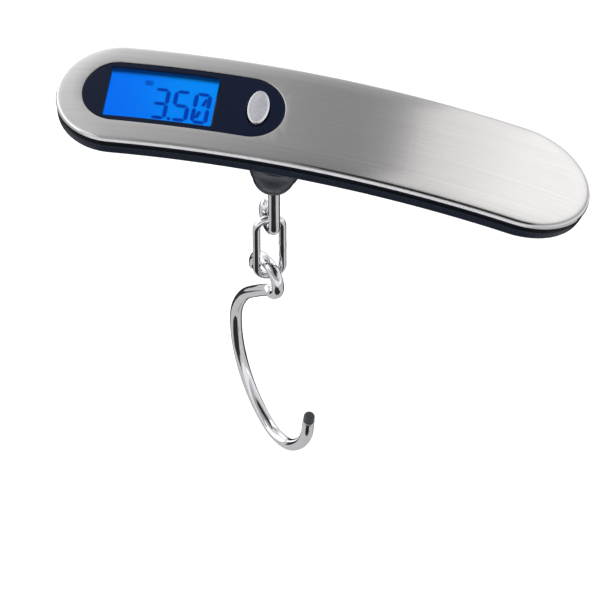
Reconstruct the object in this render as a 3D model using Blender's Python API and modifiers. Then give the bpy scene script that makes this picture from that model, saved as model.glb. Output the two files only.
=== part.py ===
"""Digital luggage scale: a banana shaped grip with a display, and a chain and hook that hang below it.

Metres, +Z up. The origin is the middle of the grip's top face. The grip is an arc: its pieces are
drawn flat, as station s along the grip, width y and height z over the top face, and then bent.
"""
import math

import bmesh
import bpy
from mathutils import Matrix, Vector

MM = 0.001
GAP = 0.3 * MM               # running gap between neighbours
CLEAR = 0.15 * MM            # close fit of a panel in its opening

# Grip
LENGTH = 160.0 * MM
WIDTH = 36.9 * MM
ARC_RADIUS = 354.0 * MM
PITCH = math.radians(8.6)    # how far the grip end hangs down
LEFT_CAP = 18.4 * MM
RIGHT_CAP = 22.1 * MM
STATION_STEP = 8.0 * MM      # spacing of the cuts that let a flat piece bend
CAP_STEPS = 9

# Steel top cover
COVER_WALL = 0.7 * MM
COVER_DEPTH = 2.0 * MM
COVER_ROUND = 1.2 * MM

# Upper frame and housing
FRAME_TOP = COVER_WALL + GAP
FRAME_BOTTOM = 3.4 * MM
SEAM_DEPTH = COVER_DEPTH + GAP
HOUSING_WALL = 1.8 * MM
# Inset and depth in mm of the tub's sections, from its rim down
HOUSING_SECTIONS = ((0.15, 3.7), (0.0, 4.4), (0.05, 6.2), (0.8, 7.2), (4.2, 10.4), (8.2, 13.8), (12.4, 16.2),
                    (15.4, 17.0))
HOUSING_TOP = FRAME_BOTTOM + GAP
HOUSING_DEPTH = 17.0 * MM

# Window panel
WINDOW_START = -LENGTH / 2 + 7.8 * MM
WINDOW_END = WINDOW_START + 59.4 * MM
WINDOW_HALF = 11.4 * MM
WINDOW_CAP = 10.4 * MM
BEZEL_TOP = 0.2 * MM
BEZEL_WALL = 1.1 * MM
LEDGE = 1.5 * MM
VIEW_START = WINDOW_START + 7.3 * MM
VIEW_END = VIEW_START + 31.7 * MM
VIEW_HALF = 9.3 * MM
LENS_WALL = 0.7 * MM

# Button
BUTTON_AT = WINDOW_END - 7.9 * MM
BUTTON_LONG = 12.9 * MM
BUTTON_WIDE = 6.3 * MM
BUTTON_PROUD = 0.7 * MM
BUTTON_TRAVEL = 0.6 * MM
SWITCH_SIDE = 4.4 * MM

# Display stack and board, stacked straight on one local frame
STACK_AT = (VIEW_START + WINDOW_END) / 2 - 5.15 * MM
GLASS_TOP = 2.2 * MM
GLASS_WALL = 1.2 * MM
LIGHT_WALL = 1.2 * MM
BOARD_WALL = 1.0 * MM
BOARD_TOP = 5.9 * MM
BOARD_START = VIEW_START - 0.9 * MM
BOARD_END = BUTTON_AT + 1.9 * MM
BOARD_HALF = 10.4 * MM
ZEBRA_WIDE = 1.4 * MM

# Load cell, straight
CELL_AT = 1.0 * MM
CELL_START = -24.0 * MM
CELL_END = 28.0 * MM
CELL_HALF = 5.0 * MM
CELL_TOP = 8.6 * MM
CELL_DEEP = 4.6 * MM
CELL_HOLE = 1.7 * MM
PLATE_START = 12.0 * MM
PLATE_END = 33.0 * MM
PLATE_HALF = 11.0 * MM
PLATE_WALL = 1.1 * MM

# Battery
BATTERY_AT = 49.0 * MM
BATTERY_RADIUS = 10.0 * MM
BATTERY_WALL = 3.2 * MM
BATTERY_TOP = 7.2 * MM
TRAY_HALF = BATTERY_RADIUS + 1.2 * MM
TRAY_LONG_HALF = BATTERY_RADIUS + 1.8 * MM
TRAY_TOP = 5.2 * MM
TRAY_BOTTOM = 10.2 * MM
CONTACT_WALL = 0.4 * MM
DOOR_START = BATTERY_AT - BATTERY_RADIUS - 3.0 * MM
DOOR_END = BATTERY_AT + BATTERY_RADIUS + 3.0 * MM
DOOR_HALF = BATTERY_RADIUS + 0.6 * MM
DOOR_GAP = 0.35 * MM
DOOR_SLANT = 1.6 * MM        # the free end leans in by this, so that it clears as it swings

# Fasteners
HOUSING_SCREW = 1.1 * MM     # shank radius
HOUSING_SCREW_HEAD = 1.9 * MM
HEAD_WALL = 1.0 * MM
HEAD_SEAT = 11.0 * MM        # depth of the faces that the housing screws pull on
PILLAR = 3.1 * MM
BOARD_SCREW = 0.9 * MM
BOARD_SCREW_HEAD = 1.7 * MM
CELL_SCREW = 1.2 * MM
CELL_SCREW_HEAD = 2.1 * MM

# Hub and swivel
LINK_WIRE = 1.25 * MM
HUB_AT = -13.2 * MM
DOME_RADIUS = 6.4 * MM
DOME_CENTRE_DEPTH = 27.0 * MM
# How far the hub's swelling stands out round the dome and its depth, in mm
SWELL_SECTIONS = ((4.8, 11.5), (4.8, 15.0), (3.9, 17.2), (2.9, 19.8), (2.3, 22.4), (1.6, 24.9), (0.8, 27.0))
STEM_WIRE = 1.75 * MM
EYE_OFFSET = STEM_WIRE + LINK_WIRE + GAP + 0.25 * MM       # from the stem's centre line to the eye's
EYE_BOTTOM = 51.8 * MM       # below the origin
STEM_TAIL = 43.6 * MM
EYE_TURN = math.radians(-58.0)

# Chain link
LINK_HALF = 3.95 * MM        # half its centre line's width
LINK_LONG = 25.5 * MM        # centre line, top to bottom
LINK_TURN = math.radians(20.0)

# Hook
HOOK_WIRE = 1.85 * MM
HOOK_EYE = 6.1 * MM           # centre line radius
HOOK_EYE_BACK = 1.8 * MM      # the eye hangs this far behind the link
HOOK_TURN = math.radians(-47.0)
HOOK_PLAY = 0.5 * MM          # gap between the link and the hook's eye
HOOK_AXIS_SHARE = 0.8         # how far the hook's pivot is turned from the link towards the eye
CAP_LONG = 3.4 * MM
CAP_STEP = 0.25 * MM

COLOURS = {
    "steel": ((0.60, 0.59, 0.58), 0.3, 1.0),
    "chrome": ((0.80, 0.80, 0.82), 0.1, 1.0),
    "black": ((0.02, 0.022, 0.03), 0.15, 0.0),
    "navy": ((0.010, 0.016, 0.040), 0.1, 0.0),
    "grey": ((0.12, 0.12, 0.13), 0.5, 0.0),
    "clear": ((0.75, 0.80, 0.85), 0.05, 0.0),
    "blue": ((0.0, 0.16, 0.85), 0.3, 0.0),
    "board": ((0.02, 0.20, 0.08), 0.4, 0.0),
    "rubber": ((0.03, 0.03, 0.03), 0.7, 0.0),
    "white": ((0.75, 0.75, 0.72), 0.5, 0.0),
    "brass": ((0.75, 0.55, 0.25), 0.3, 1.0),
    "alloy": ((0.55, 0.56, 0.58), 0.4, 1.0),
    "red": ((0.55, 0.05, 0.04), 0.5, 0.0),
}


# ---------------------------------------------------------------- scene helpers

def clear_scene():
    for item in list(bpy.data.objects):
        bpy.data.objects.remove(item, do_unlink=True)


def new_collection(name):
    group = bpy.data.collections.new(name)
    bpy.context.scene.collection.children.link(group)
    return group


def material(name):
    known = bpy.data.materials.get(name)
    if known:
        return known
    colour, rough, metal = COLOURS[name]
    made = bpy.data.materials.new(name)
    made.use_nodes = True
    shader = made.node_tree.nodes["Principled BSDF"]
    shader.inputs["Base Color"].default_value = (*colour, 1.0)
    shader.inputs["Roughness"].default_value = rough
    shader.inputs["Metallic"].default_value = metal
    return made


def mesh_object(name, bm, group, finish=None):
    bmesh.ops.recalc_face_normals(bm, faces=bm.faces)
    mesh = bpy.data.meshes.new(name)
    bm.to_mesh(mesh)
    bm.free()
    made = bpy.data.objects.new(name, mesh)
    group.objects.link(made)
    if finish:
        mesh.materials.append(material(finish))
    return made


def evaluated(source):
    """The mesh of an object with its modifiers, in its own coordinates."""
    bpy.context.view_layer.update()
    graph = bpy.context.evaluated_depsgraph_get()
    return bpy.data.meshes.new_from_object(source.evaluated_get(graph))


# ---------------------------------------------------------------- the bend

def bent(s, y, z):
    """World position of a flat point: station s, width y, height z over the top face."""
    turn = s / ARC_RADIUS + PITCH
    reach = ARC_RADIUS + z
    x_centre = -ARC_RADIUS * math.sin(PITCH)
    z_centre = -ARC_RADIUS * math.cos(PITCH)
    return Vector((x_centre + reach * math.sin(turn), y, z_centre + reach * math.cos(turn)))


def flat(point):
    """Station, width and height of a world point."""
    x = point.x + ARC_RADIUS * math.sin(PITCH)
    z = point.z + ARC_RADIUS * math.cos(PITCH)
    return (math.atan2(x, z) - PITCH) * ARC_RADIUS, point.y, math.hypot(x, z) - ARC_RADIUS


def local_frame(station):
    """Matrix whose axes are the grip's tangent, +Y and outward normal at a station."""
    turn = station / ARC_RADIUS + PITCH
    return Matrix.Translation(bent(station, 0, 0)) @ Matrix.Rotation(turn, 4, "Y")


def bend_object(source, group, finish, name):
    """Cut a flat object across its length, bend it along the grip and make it a node."""
    mesh = evaluated(source)
    bm = bmesh.new()
    bm.from_mesh(mesh)
    cuts = int(LENGTH / STATION_STEP)
    for index in range(1, cuts):
        station = -LENGTH / 2 + index * LENGTH / cuts
        geometry = bm.verts[:] + bm.edges[:] + bm.faces[:]
        bmesh.ops.bisect_plane(bm, geom=geometry, dist=1e-6, plane_co=(station, 0, 0), plane_no=(1, 0, 0))
    bmesh.ops.triangulate(bm, faces=bm.faces)
    for vert in bm.verts:
        vert.co = bent(*vert.co)
    bmesh.ops.dissolve_degenerate(bm, dist=1e-6, edges=bm.edges)
    made = mesh_object(name, bm, group, finish)
    made.data.shade_smooth()
    made.data.set_sharp_from_angle(angle=math.radians(35))
    return made


# ---------------------------------------------------------------- flat outlines and solids

def grip_outline(inset):
    """Points of the grip's outline, moved inwards, anticlockwise from the right end."""
    half = WIDTH / 2 - inset
    points = []
    for centre, reach, start in (
        (LENGTH / 2 - RIGHT_CAP, RIGHT_CAP - inset, -90),
        (-LENGTH / 2 + LEFT_CAP, LEFT_CAP - inset, 90),
    ):
        for index in range(CAP_STEPS * 2 + 1):
            angle = math.radians(start + index * 90 / CAP_STEPS)
            points.append((centre + reach * math.cos(angle), half * math.sin(angle)))
    return points


def window_outline(inset):
    half = WINDOW_HALF - inset
    reach = WINDOW_CAP - inset
    points = []
    for centre, start in ((WINDOW_END - WINDOW_CAP, -90), (WINDOW_START + WINDOW_CAP, 90)):
        for index in range(CAP_STEPS * 2 + 1):
            angle = math.radians(start + index * 90 / CAP_STEPS)
            points.append((centre + reach * math.cos(angle), half * math.sin(angle)))
    return points


def oval_outline(station, long, wide, steps=24):
    """An oval whose long side runs across the grip."""
    points = []
    for index in range(steps):
        angle = 2 * math.pi * index / steps
        points.append((station + wide / 2 * math.cos(angle), long / 2 * math.sin(angle)))
    return points


def loft(rings):
    """A closed solid through rings of equal length, each a pair of outline and height."""
    bm = bmesh.new()
    loops = []
    for outline, height in rings:
        loops.append([bm.verts.new((x, y, height)) for x, y in outline])
    count = len(loops[0])
    for lower, upper in zip(loops, loops[1:]):
        for index in range(count):
            after = (index + 1) % count
            bm.faces.new((lower[index], lower[after], upper[after], upper[index]))
    bm.faces.new(loops[0])
    bm.faces.new(loops[-1])
    return bm


def prism(outline, low, high):
    return loft(((outline, low), (outline, high)))


def block(x0, x1, y0, y1, z0, z1):
    bm = bmesh.new()
    bmesh.ops.create_cube(bm, size=1.0)
    size = Matrix.Diagonal((x1 - x0, y1 - y0, z1 - z0, 1.0))
    place = Matrix.Translation(((x0 + x1) / 2, (y0 + y1) / 2, (z0 + z1) / 2))
    bmesh.ops.transform(bm, matrix=place @ size, verts=bm.verts)
    return bm


def rod(x, y, z0, z1, radius, top_radius=None, steps=24):
    bm = bmesh.new()
    place = Matrix.Translation((x, y, (z0 + z1) / 2))
    upper = radius if top_radius is None else top_radius
    bmesh.ops.create_cone(bm, cap_ends=True, segments=steps, radius1=radius, radius2=upper,
                          depth=z1 - z0, matrix=place)
    return bm


def moved(bm, matrix):
    bmesh.ops.transform(bm, matrix=matrix, verts=bm.verts)
    return bm


def with_tool(target, bm, operation, tools):
    """Add a Boolean of a hidden cutter to an object."""
    tool = mesh_object("tool_" + target.name, bm, tools)
    tool.hide_render = True
    tool.display_type = "WIRE"
    change = target.modifiers.new("shape", "BOOLEAN")
    change.operation = operation
    change.object = tool
    return tool


def cut(target, bm, tools):
    return with_tool(target, bm, "DIFFERENCE", tools)


def join(target, bm, tools):
    return with_tool(target, bm, "UNION", tools)


def chamfer(target, width):
    edge = target.modifiers.new("edge", "BEVEL")
    edge.width = width
    edge.segments = 1
    edge.limit_method = "ANGLE"
    edge.angle_limit = math.radians(50)


def turned(name, profile, group, finish, steps=32):
    """A Screw modifier about Z on a profile of (radius, height), outer side top to bottom."""
    bm = bmesh.new()
    verts = [bm.verts.new((radius, 0, height)) for radius, height in profile]
    for first, second in zip(verts, verts[1:]):
        bm.edges.new((first, second))
    mesh = bpy.data.meshes.new(name)
    bm.to_mesh(mesh)
    bm.free()
    made = bpy.data.objects.new(name, mesh)
    group.objects.link(made)
    mesh.materials.append(material(finish))
    spin = made.modifiers.new("turn", "SCREW")
    spin.steps = steps
    spin.render_steps = steps
    spin.use_merge_vertices = True
    spin.merge_threshold = 1e-6
    spin.use_smooth_shade = True
    return made


def wire(name, points, radius, group, finish, closed=False, resolution=3):
    curve = bpy.data.curves.new(name, "CURVE")
    curve.dimensions = "3D"
    curve.bevel_depth = radius
    curve.bevel_resolution = resolution
    curve.render_resolution_u = 0
    curve.use_fill_caps = not closed
    line = curve.splines.new("POLY")
    line.points.add(len(points) - 1)
    for point, place in zip(line.points, points):
        point.co = (*place, 1.0)
    line.use_cyclic_u = closed
    made = bpy.data.objects.new(name, curve)
    group.objects.link(made)
    curve.materials.append(material(finish))
    return made


def smooth_route(points, per_span):
    """Points of a smooth curve through the route's own points."""
    route = [2 * points[0] - points[1], *points, 2 * points[-1] - points[-2]]
    made = []
    for a, b, c, d in zip(route, route[1:], route[2:], route[3:]):
        for index in range(per_span):
            t = index / per_span
            made.append(0.5 * (2 * b + (c - a) * t + (2 * a - 5 * b + 4 * c - d) * t * t
                               + (3 * b - a - 3 * c + d) * t * t * t))
    made.append(points[-1])
    return made


def pivot(name, place, group, turn=0.0):
    """Empty on a joint's axis, turned about Z."""
    empty = bpy.data.objects.new(name, None)
    empty.location = place
    empty.rotation_euler.z = turn
    group.objects.link(empty)
    bpy.context.view_layer.update()
    return empty


def ride(child, parent):
    """Parent an object and keep it where it is."""
    child.parent = parent
    child.matrix_parent_inverse = parent.matrix_world.inverted()


# ---------------------------------------------------------------- shells

def make_top_cover(parts, tools):
    """Pressed steel shell: rounded rim, flat top, window opening."""
    steps = 4
    outer = []
    for index in range(steps + 1):
        angle = math.radians(90 * index / steps)
        inset = COVER_ROUND * (1 - math.sin(angle))
        outer.append((grip_outline(inset), -COVER_ROUND * (1 - math.cos(angle))))
    outer.append((grip_outline(0), -COVER_DEPTH))
    body = mesh_object("flat_cover", loft(outer), tools)
    inner_round = COVER_ROUND - COVER_WALL
    inner = []
    for index in range(steps + 1):
        angle = math.radians(90 * index / steps)
        inset = COVER_WALL + inner_round * (1 - math.sin(angle))
        inner.append((grip_outline(inset), -COVER_WALL - inner_round * (1 - math.cos(angle))))
    inner.append((grip_outline(COVER_WALL), -COVER_DEPTH - MM))
    cut(body, loft(inner), tools)
    cut(body, prism(window_outline(0), -5 * MM, MM), tools)
    return bend_object(body, parts, "steel", "top_cover")


def make_upper_frame(parts, tools):
    """Plastic carrier under the cover, with a bead that shows as the seam line."""
    inner = COVER_WALL + GAP + COVER_ROUND * 0.3
    rings = (
        (grip_outline(inner + 1.2 * MM), -FRAME_TOP - 0.25 * MM),
        (grip_outline(inner), -SEAM_DEPTH),
        (grip_outline(0.15 * MM), -SEAM_DEPTH - 0.01 * MM),
        (grip_outline(0.15 * MM), -FRAME_BOTTOM),
    )
    body = mesh_object("flat_frame", loft(rings), tools)
    cut(body, prism(window_outline(-GAP), -BEZEL_TOP - BEZEL_WALL - GAP, MM), tools)
    view = block(VIEW_START - MM, VIEW_END + MM, -VIEW_HALF - GAP, VIEW_HALF + GAP, -6 * MM, MM)
    cut(body, view, tools)
    plunger = oval_outline(BUTTON_AT, BUTTON_LONG + 2 * GAP, BUTTON_WIDE + 2 * GAP)
    cut(body, prism(plunger, -6 * MM, MM), tools)
    for station, y in housing_screw_places():
        cut(body, rod(station, y, -6 * MM, -FRAME_BOTTOM + 1.2 * MM, HOUSING_SCREW + GAP), tools)
    return bend_object(body, parts, "black", "upper_frame")


def housing_screw_places():
    side = CELL_HALF + GAP + PILLAR + 2.0 * MM
    return ((-LENGTH / 2 + 10.0 * MM, 0.0), (LENGTH / 2 - 9.0 * MM, 0.0), (CELL_AT, -side), (CELL_AT, side))


def housing_rings(wall):
    """Sections of the tub from its rim down: inset and depth, less a wall."""
    rings = []
    for inset, depth in HOUSING_SECTIONS:
        lean = inset / HOUSING_SECTIONS[-1][0]
        rings.append((grip_outline(inset * MM + wall * (1 - 0.75 * lean)), -depth * MM + wall * lean))
    return rings


def door_box(gap):
    """The battery door's outline in the tub, grown by a gap; its free end leans."""
    bm = block(DOOR_START - gap, DOOR_END + gap, -DOOR_HALF - gap, DOOR_HALF + gap, -20 * MM, -9 * MM)
    for vert in bm.verts:
        if vert.co.x < DOOR_START + MM and vert.co.z > -10 * MM:
            vert.co.x += DOOR_SLANT * 2
    return bm


def hub_swell():
    """Round swelling of the tub that carries the dome."""
    return loft(tuple((circle(HUB_AT, DOME_RADIUS + flare * MM), -depth * MM) for flare, depth in SWELL_SECTIONS))


def make_tub(tools, name):
    tub = mesh_object(name, loft(housing_rings(0)), tools)
    join(tub, hub_swell(), tools)
    cavity = housing_rings(HOUSING_WALL)
    cavity.insert(0, (cavity[0][0], 0))
    cut(tub, loft(cavity), tools)
    return tub


def make_lower_housing(parts, tools):
    tub = make_tub(tools, "flat_tub")
    for station, y in housing_screw_places():
        join(tub, rod(station, y, -HOUSING_DEPTH, -HOUSING_TOP - GAP, PILLAR), tools)
    outside = with_tool(tub, loft(housing_rings(0)), "INTERSECT", tools)
    join(outside, hub_swell(), tools)
    cut(tub, door_box(DOOR_GAP), tools)
    for station, y in housing_screw_places():
        cut(tub, rod(station, y, -20 * MM, MM, HOUSING_SCREW + GAP), tools)
        cut(tub, rod(station, y, -20 * MM, -HEAD_SEAT, HOUSING_SCREW_HEAD + GAP), tools)
    made = bend_object(tub, parts, "black", "lower_housing")
    stem = stem_place()
    bore = rod(stem.x, 0, -30 * MM, -10.0 * MM, DOME_RADIUS + GAP, steps=32)
    cut(made, bore, tools)
    return made


def circle(station, radius, steps=32):
    return [
        (station + radius * math.cos(2 * math.pi * index / steps), radius * math.sin(2 * math.pi * index / steps))
        for index in range(steps)
    ]


def make_battery_door(parts, tools):
    tub = make_tub(tools, "flat_door")
    with_tool(tub, door_box(0), "INTERSECT", tools)
    door = bend_object(tub, parts, "black", "battery_door")
    hinge = pivot("battery_door_hinge", door_hinge_place(), parts)
    ride(door, hinge)
    return door


def door_hinge_place():
    return bent(DOOR_END, 0, -HOUSING_DEPTH)


# ---------------------------------------------------------------- window, display and board

def make_window(parts, tools):
    bezel = mesh_object("flat_bezel", prism(window_outline(CLEAR), -BEZEL_TOP - BEZEL_WALL, -BEZEL_TOP), tools)
    cut(bezel, block(VIEW_START, VIEW_END, -VIEW_HALF, VIEW_HALF, -6 * MM, MM), tools)
    hole = oval_outline(BUTTON_AT, BUTTON_LONG + 2 * GAP, BUTTON_WIDE + 2 * GAP)
    cut(bezel, prism(hole, -6 * MM, MM), tools)
    bend_object(bezel, parts, "navy", "window_bezel")
    low = -BEZEL_TOP - BEZEL_WALL
    pane = block(VIEW_START + CLEAR, VIEW_END - CLEAR, -VIEW_HALF + CLEAR, VIEW_HALF - CLEAR, low, low + LENS_WALL)
    bend_object(mesh_object("flat_lens", pane, tools), parts, "clear", "display_lens")


def stacked(name, box, station, group, finish):
    """A straight block in the local frame of a station; its x runs in flat stations."""
    made = mesh_object(name, moved(block(*box), Matrix.Translation((-station, 0, 0))), group, finish)
    made.matrix_world = local_frame(station)
    return made


def make_display(parts):
    x0 = VIEW_START - 0.7 * MM
    x1 = VIEW_END + 0.7 * MM
    half = VIEW_HALF - GAP
    low = -GLASS_TOP - GLASS_WALL
    stacked("lcd_panel", (x0, x1, -half, half, low, -GLASS_TOP), STACK_AT, parts, "blue")
    light_low = low - GAP - LIGHT_WALL
    light_half = half - ZEBRA_WIDE - GAP
    light = (x0, x1, -light_half, light_half, light_low, low - GAP)
    stacked("lcd_backlight", light, STACK_AT, parts, "white")
    for name, side in (("zebra_strip_front", -1), ("zebra_strip_rear", 1)):
        y0, y1 = sorted((side * half, side * (half - ZEBRA_WIDE)))
        strip = (x0 + MM, x1 - MM, y0, y1, -BOARD_TOP + GAP, low - GAP)
        stacked(name, strip, STACK_AT, parts, "rubber")


def board_screw_places():
    station = (VIEW_END + BUTTON_AT) / 2 - 1.45 * MM
    return ((station, -7.6 * MM), (station, 7.6 * MM))


def make_board(parts, tools):
    low = -BOARD_TOP - BOARD_WALL
    board = stacked("main_board", (BOARD_START, BOARD_END, -BOARD_HALF, BOARD_HALF, low, -BOARD_TOP),
                    STACK_AT, parts, "board")
    frame = local_frame(STACK_AT)
    for number, (station, y) in enumerate(board_screw_places(), 1):
        x = station - STACK_AT
        cut(board, moved(rod(x, y, -10 * MM, MM, BOARD_SCREW + GAP), frame), tools)
        make_screw("board_screw_%d" % number, (x, y, low - GAP), BOARD_SCREW, BOARD_SCREW_HEAD,
                   BOARD_WALL + 1.6 * MM, frame, parts)
    blob = mesh_object("chip_blob", rod(0, 0, low - GAP - 1.1 * MM, low - GAP, 2.6 * MM, 4.2 * MM), parts, "rubber")
    blob.matrix_world = frame
    x = BUTTON_AT - STACK_AT
    side = SWITCH_SIDE / 2
    rest = -BOARD_TOP + GAP
    switch = mesh_object("tact_switch", block(x - side, x + side, -side, side, rest, rest + 1.0 * MM), parts, "grey")
    join(switch, rod(x, 0, rest + 0.9 * MM, rest + 1.3 * MM, 1.0 * MM), tools)
    for item in tools.objects:
        if item.name == "tool_tact_switch":
            item.matrix_world = frame
    switch.matrix_world = frame


def make_screw(name, place, shank, head, length, frame, group):
    """A pan head screw whose shank rises from its head; place is the head's top face."""
    x, y, z = place
    profile = ((0, length), (shank * 0.6, length), (shank, length - shank * 0.5), (shank, 0), (head, 0),
               (head, -HEAD_WALL * 0.6), (head * 0.8, -HEAD_WALL), (0, -HEAD_WALL))
    made = turned(name, profile, group, "alloy", steps=16)
    made.matrix_world = frame @ Matrix.Translation((x, y, z))
    return made


def make_button(parts):
    hub = local_frame(BUTTON_AT)
    slide = pivot("button_slide", hub.translation, parts)
    outline = oval_outline(0, BUTTON_LONG, BUTTON_WIDE)
    shoulder = oval_outline(0, BUTTON_LONG - 0.9 * MM, BUTTON_WIDE - 0.9 * MM)
    crown = oval_outline(0, BUTTON_LONG - 3.0 * MM, BUTTON_WIDE - 3.0 * MM)
    rings = ((outline, -1.8 * MM), (outline, BUTTON_PROUD - 0.35 * MM),
             (shoulder, BUTTON_PROUD - 0.05 * MM), (crown, BUTTON_PROUD))
    cap = mesh_object("button_cap", loft(rings), parts, "chrome")
    cap.matrix_world = hub
    ride(cap, slide)
    stalk = mesh_object("switch_plunger", rod(0, 0, -2.9 * MM, -1.8 * MM - GAP, 1.1 * MM), parts, "grey")
    stalk.matrix_world = hub
    ride(stalk, slide)


# ---------------------------------------------------------------- load cell

def make_load_cell(parts, tools):
    frame = local_frame(CELL_AT)
    low = -CELL_TOP - CELL_DEEP
    cell = stacked("load_cell", (CELL_START, CELL_END, -CELL_HALF, CELL_HALF, low, -CELL_TOP),
                   CELL_AT, parts, "alloy")
    chamfer(cell, 0.3 * MM)
    middle = (low - CELL_TOP) / 2
    lying = Matrix.Rotation(math.pi / 2, 4, "X")
    for x in (-3.2 * MM, 3.2 * MM):
        hole = moved(rod(0, 0, -9 * MM, 9 * MM, CELL_HOLE), Matrix.Translation((x, 0, middle)) @ lying)
        cut(cell, moved(hole, frame), tools)
    slot = block(-3.2 * MM, 3.2 * MM, -9 * MM, 9 * MM, middle - 0.6 * MM, middle + 0.6 * MM)
    cut(cell, moved(slot, frame), tools)
    stem = stem_place()
    cut(cell, rod(stem.x, 0, -30 * MM, 5 * MM, STEM_WIRE + GAP), tools)
    floor = nut_seat()
    cut(cell, rod(stem.x, 0, floor, 5 * MM, 3.6 * MM), tools)
    gauge = block(-4.5 * MM, 4.5 * MM, -3.4 * MM, 3.4 * MM, -CELL_TOP + GAP, -CELL_TOP + GAP + 0.7 * MM)
    patch = mesh_object("gauge_cover", gauge, parts, "white")
    patch.matrix_world = frame
    chamfer(patch, 0.2 * MM)
    plate_low = -CELL_TOP + GAP
    plate = stacked("chassis_plate", (PLATE_START, PLATE_END, -PLATE_HALF, PLATE_HALF, plate_low,
                                      plate_low + PLATE_WALL), CELL_AT, parts, "alloy")
    for number, station in enumerate((17.0 * MM, 24.0 * MM), 1):
        x = station - CELL_AT
        for target in (cell, plate):
            cut(target, moved(rod(x, 0, -20 * MM, 0, CELL_SCREW + GAP), frame), tools)
        make_screw("load_cell_screw_%d" % number, (x, 0, low - GAP), CELL_SCREW, CELL_SCREW_HEAD,
                   CELL_DEEP + PLATE_WALL + GAP, frame, parts)


def nut_seat():
    """Height of the level face that the swivel nut turns on."""
    stem = stem_place()
    station = CELL_AT
    frame = local_frame(station)
    normal = frame.to_3x3() @ Vector((0, 0, 1))
    top = frame @ Vector((0, 0, -CELL_TOP))
    level = top.z - normal.x / normal.z * (stem.x + 3.6 * MM - top.x)
    return level - 0.9 * MM


def make_wires(parts):
    route = [(3, 6.1, -10.6), (-3, 6.4, -10.2), (-9, 7.0, -9.4), (-15, 7.4, -9.0), (-21, 7.2, -9.1), (-25, 6.6, -9.2)]
    points = [bent(s * MM, y * MM, z * MM) for s, y, z in route]
    wire("load_cell_wires", smooth_route(points, 4), 0.7 * MM, parts, "red", resolution=2)


# ---------------------------------------------------------------- battery

def make_battery(parts, tools):
    frame = local_frame(BATTERY_AT)
    tray = mesh_object("battery_tray", block(-TRAY_LONG_HALF, TRAY_LONG_HALF, -TRAY_HALF, TRAY_HALF,
                                                -TRAY_BOTTOM, -TRAY_TOP),
                       parts, "grey")
    tray.matrix_world = frame
    pocket = rod(0, 0, -20 * MM, -TRAY_TOP - MM, BATTERY_RADIUS + 0.8 * MM, steps=32)
    cut(tray, moved(pocket, frame), tools)
    low = -BATTERY_TOP - BATTERY_WALL
    cell = mesh_object("battery_cell", rod(0, 0, low, -BATTERY_TOP, BATTERY_RADIUS, steps=32), parts, "alloy")
    cell.matrix_world = frame
    chamfer(cell, 0.4 * MM)
    high = -TRAY_TOP - MM - GAP
    leaf = block(-7 * MM, 7 * MM, -2 * MM, 2 * MM, high - CONTACT_WALL, high)
    negative = mesh_object("battery_contact_negative", leaf, parts, "brass")
    negative.matrix_world = frame
    ring = []
    steps = 8
    inner = BATTERY_RADIUS + 0.2 * MM
    for index in range(steps + 1):
        angle = math.radians(-30 + 60 * index / steps)
        ring.append((inner * math.cos(angle), inner * math.sin(angle)))
    for index in range(steps, -1, -1):
        angle = math.radians(-30 + 60 * index / steps)
        ring.append(((inner + CONTACT_WALL) * math.cos(angle), (inner + CONTACT_WALL) * math.sin(angle)))
    clip = mesh_object("battery_contact_positive", prism(ring, low + GAP, -BATTERY_TOP - GAP), parts, "brass")
    clip.matrix_world = frame


# ---------------------------------------------------------------- hub, chain and hook

def stem_place():
    """Top of the swivel axis, straight above the dome's centre."""
    centre = bent(HUB_AT, 0, -DOME_CENTRE_DEPTH)
    return Vector((centre.x, 0, 0))


def dome_centre_height():
    return bent(HUB_AT, 0, -DOME_CENTRE_DEPTH).z


def make_dome(parts):
    """Turned hub: a barrel in the housing's bore that ends in a half ball."""
    steps = 7
    bore = STEM_WIRE + 0.45 * MM
    top = 10.2 * MM
    profile = [(bore, top), (DOME_RADIUS, top), (DOME_RADIUS, 0)]
    last = math.degrees(math.acos(bore / DOME_RADIUS))
    for index in range(1, steps + 1):
        angle = math.radians(last * index / steps)
        profile.append((DOME_RADIUS * math.cos(angle), -DOME_RADIUS * math.sin(angle)))
    profile.append((bore, top))
    dome = turned("hub_dome", profile, parts, "black", steps=32)
    dome.location = stem_place() + Vector((0, 0, dome_centre_height()))
    return dome


def eye_direction():
    """From the stem towards the eye's free leg."""
    return -Vector((math.cos(EYE_TURN), math.sin(EYE_TURN), 0))


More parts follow.
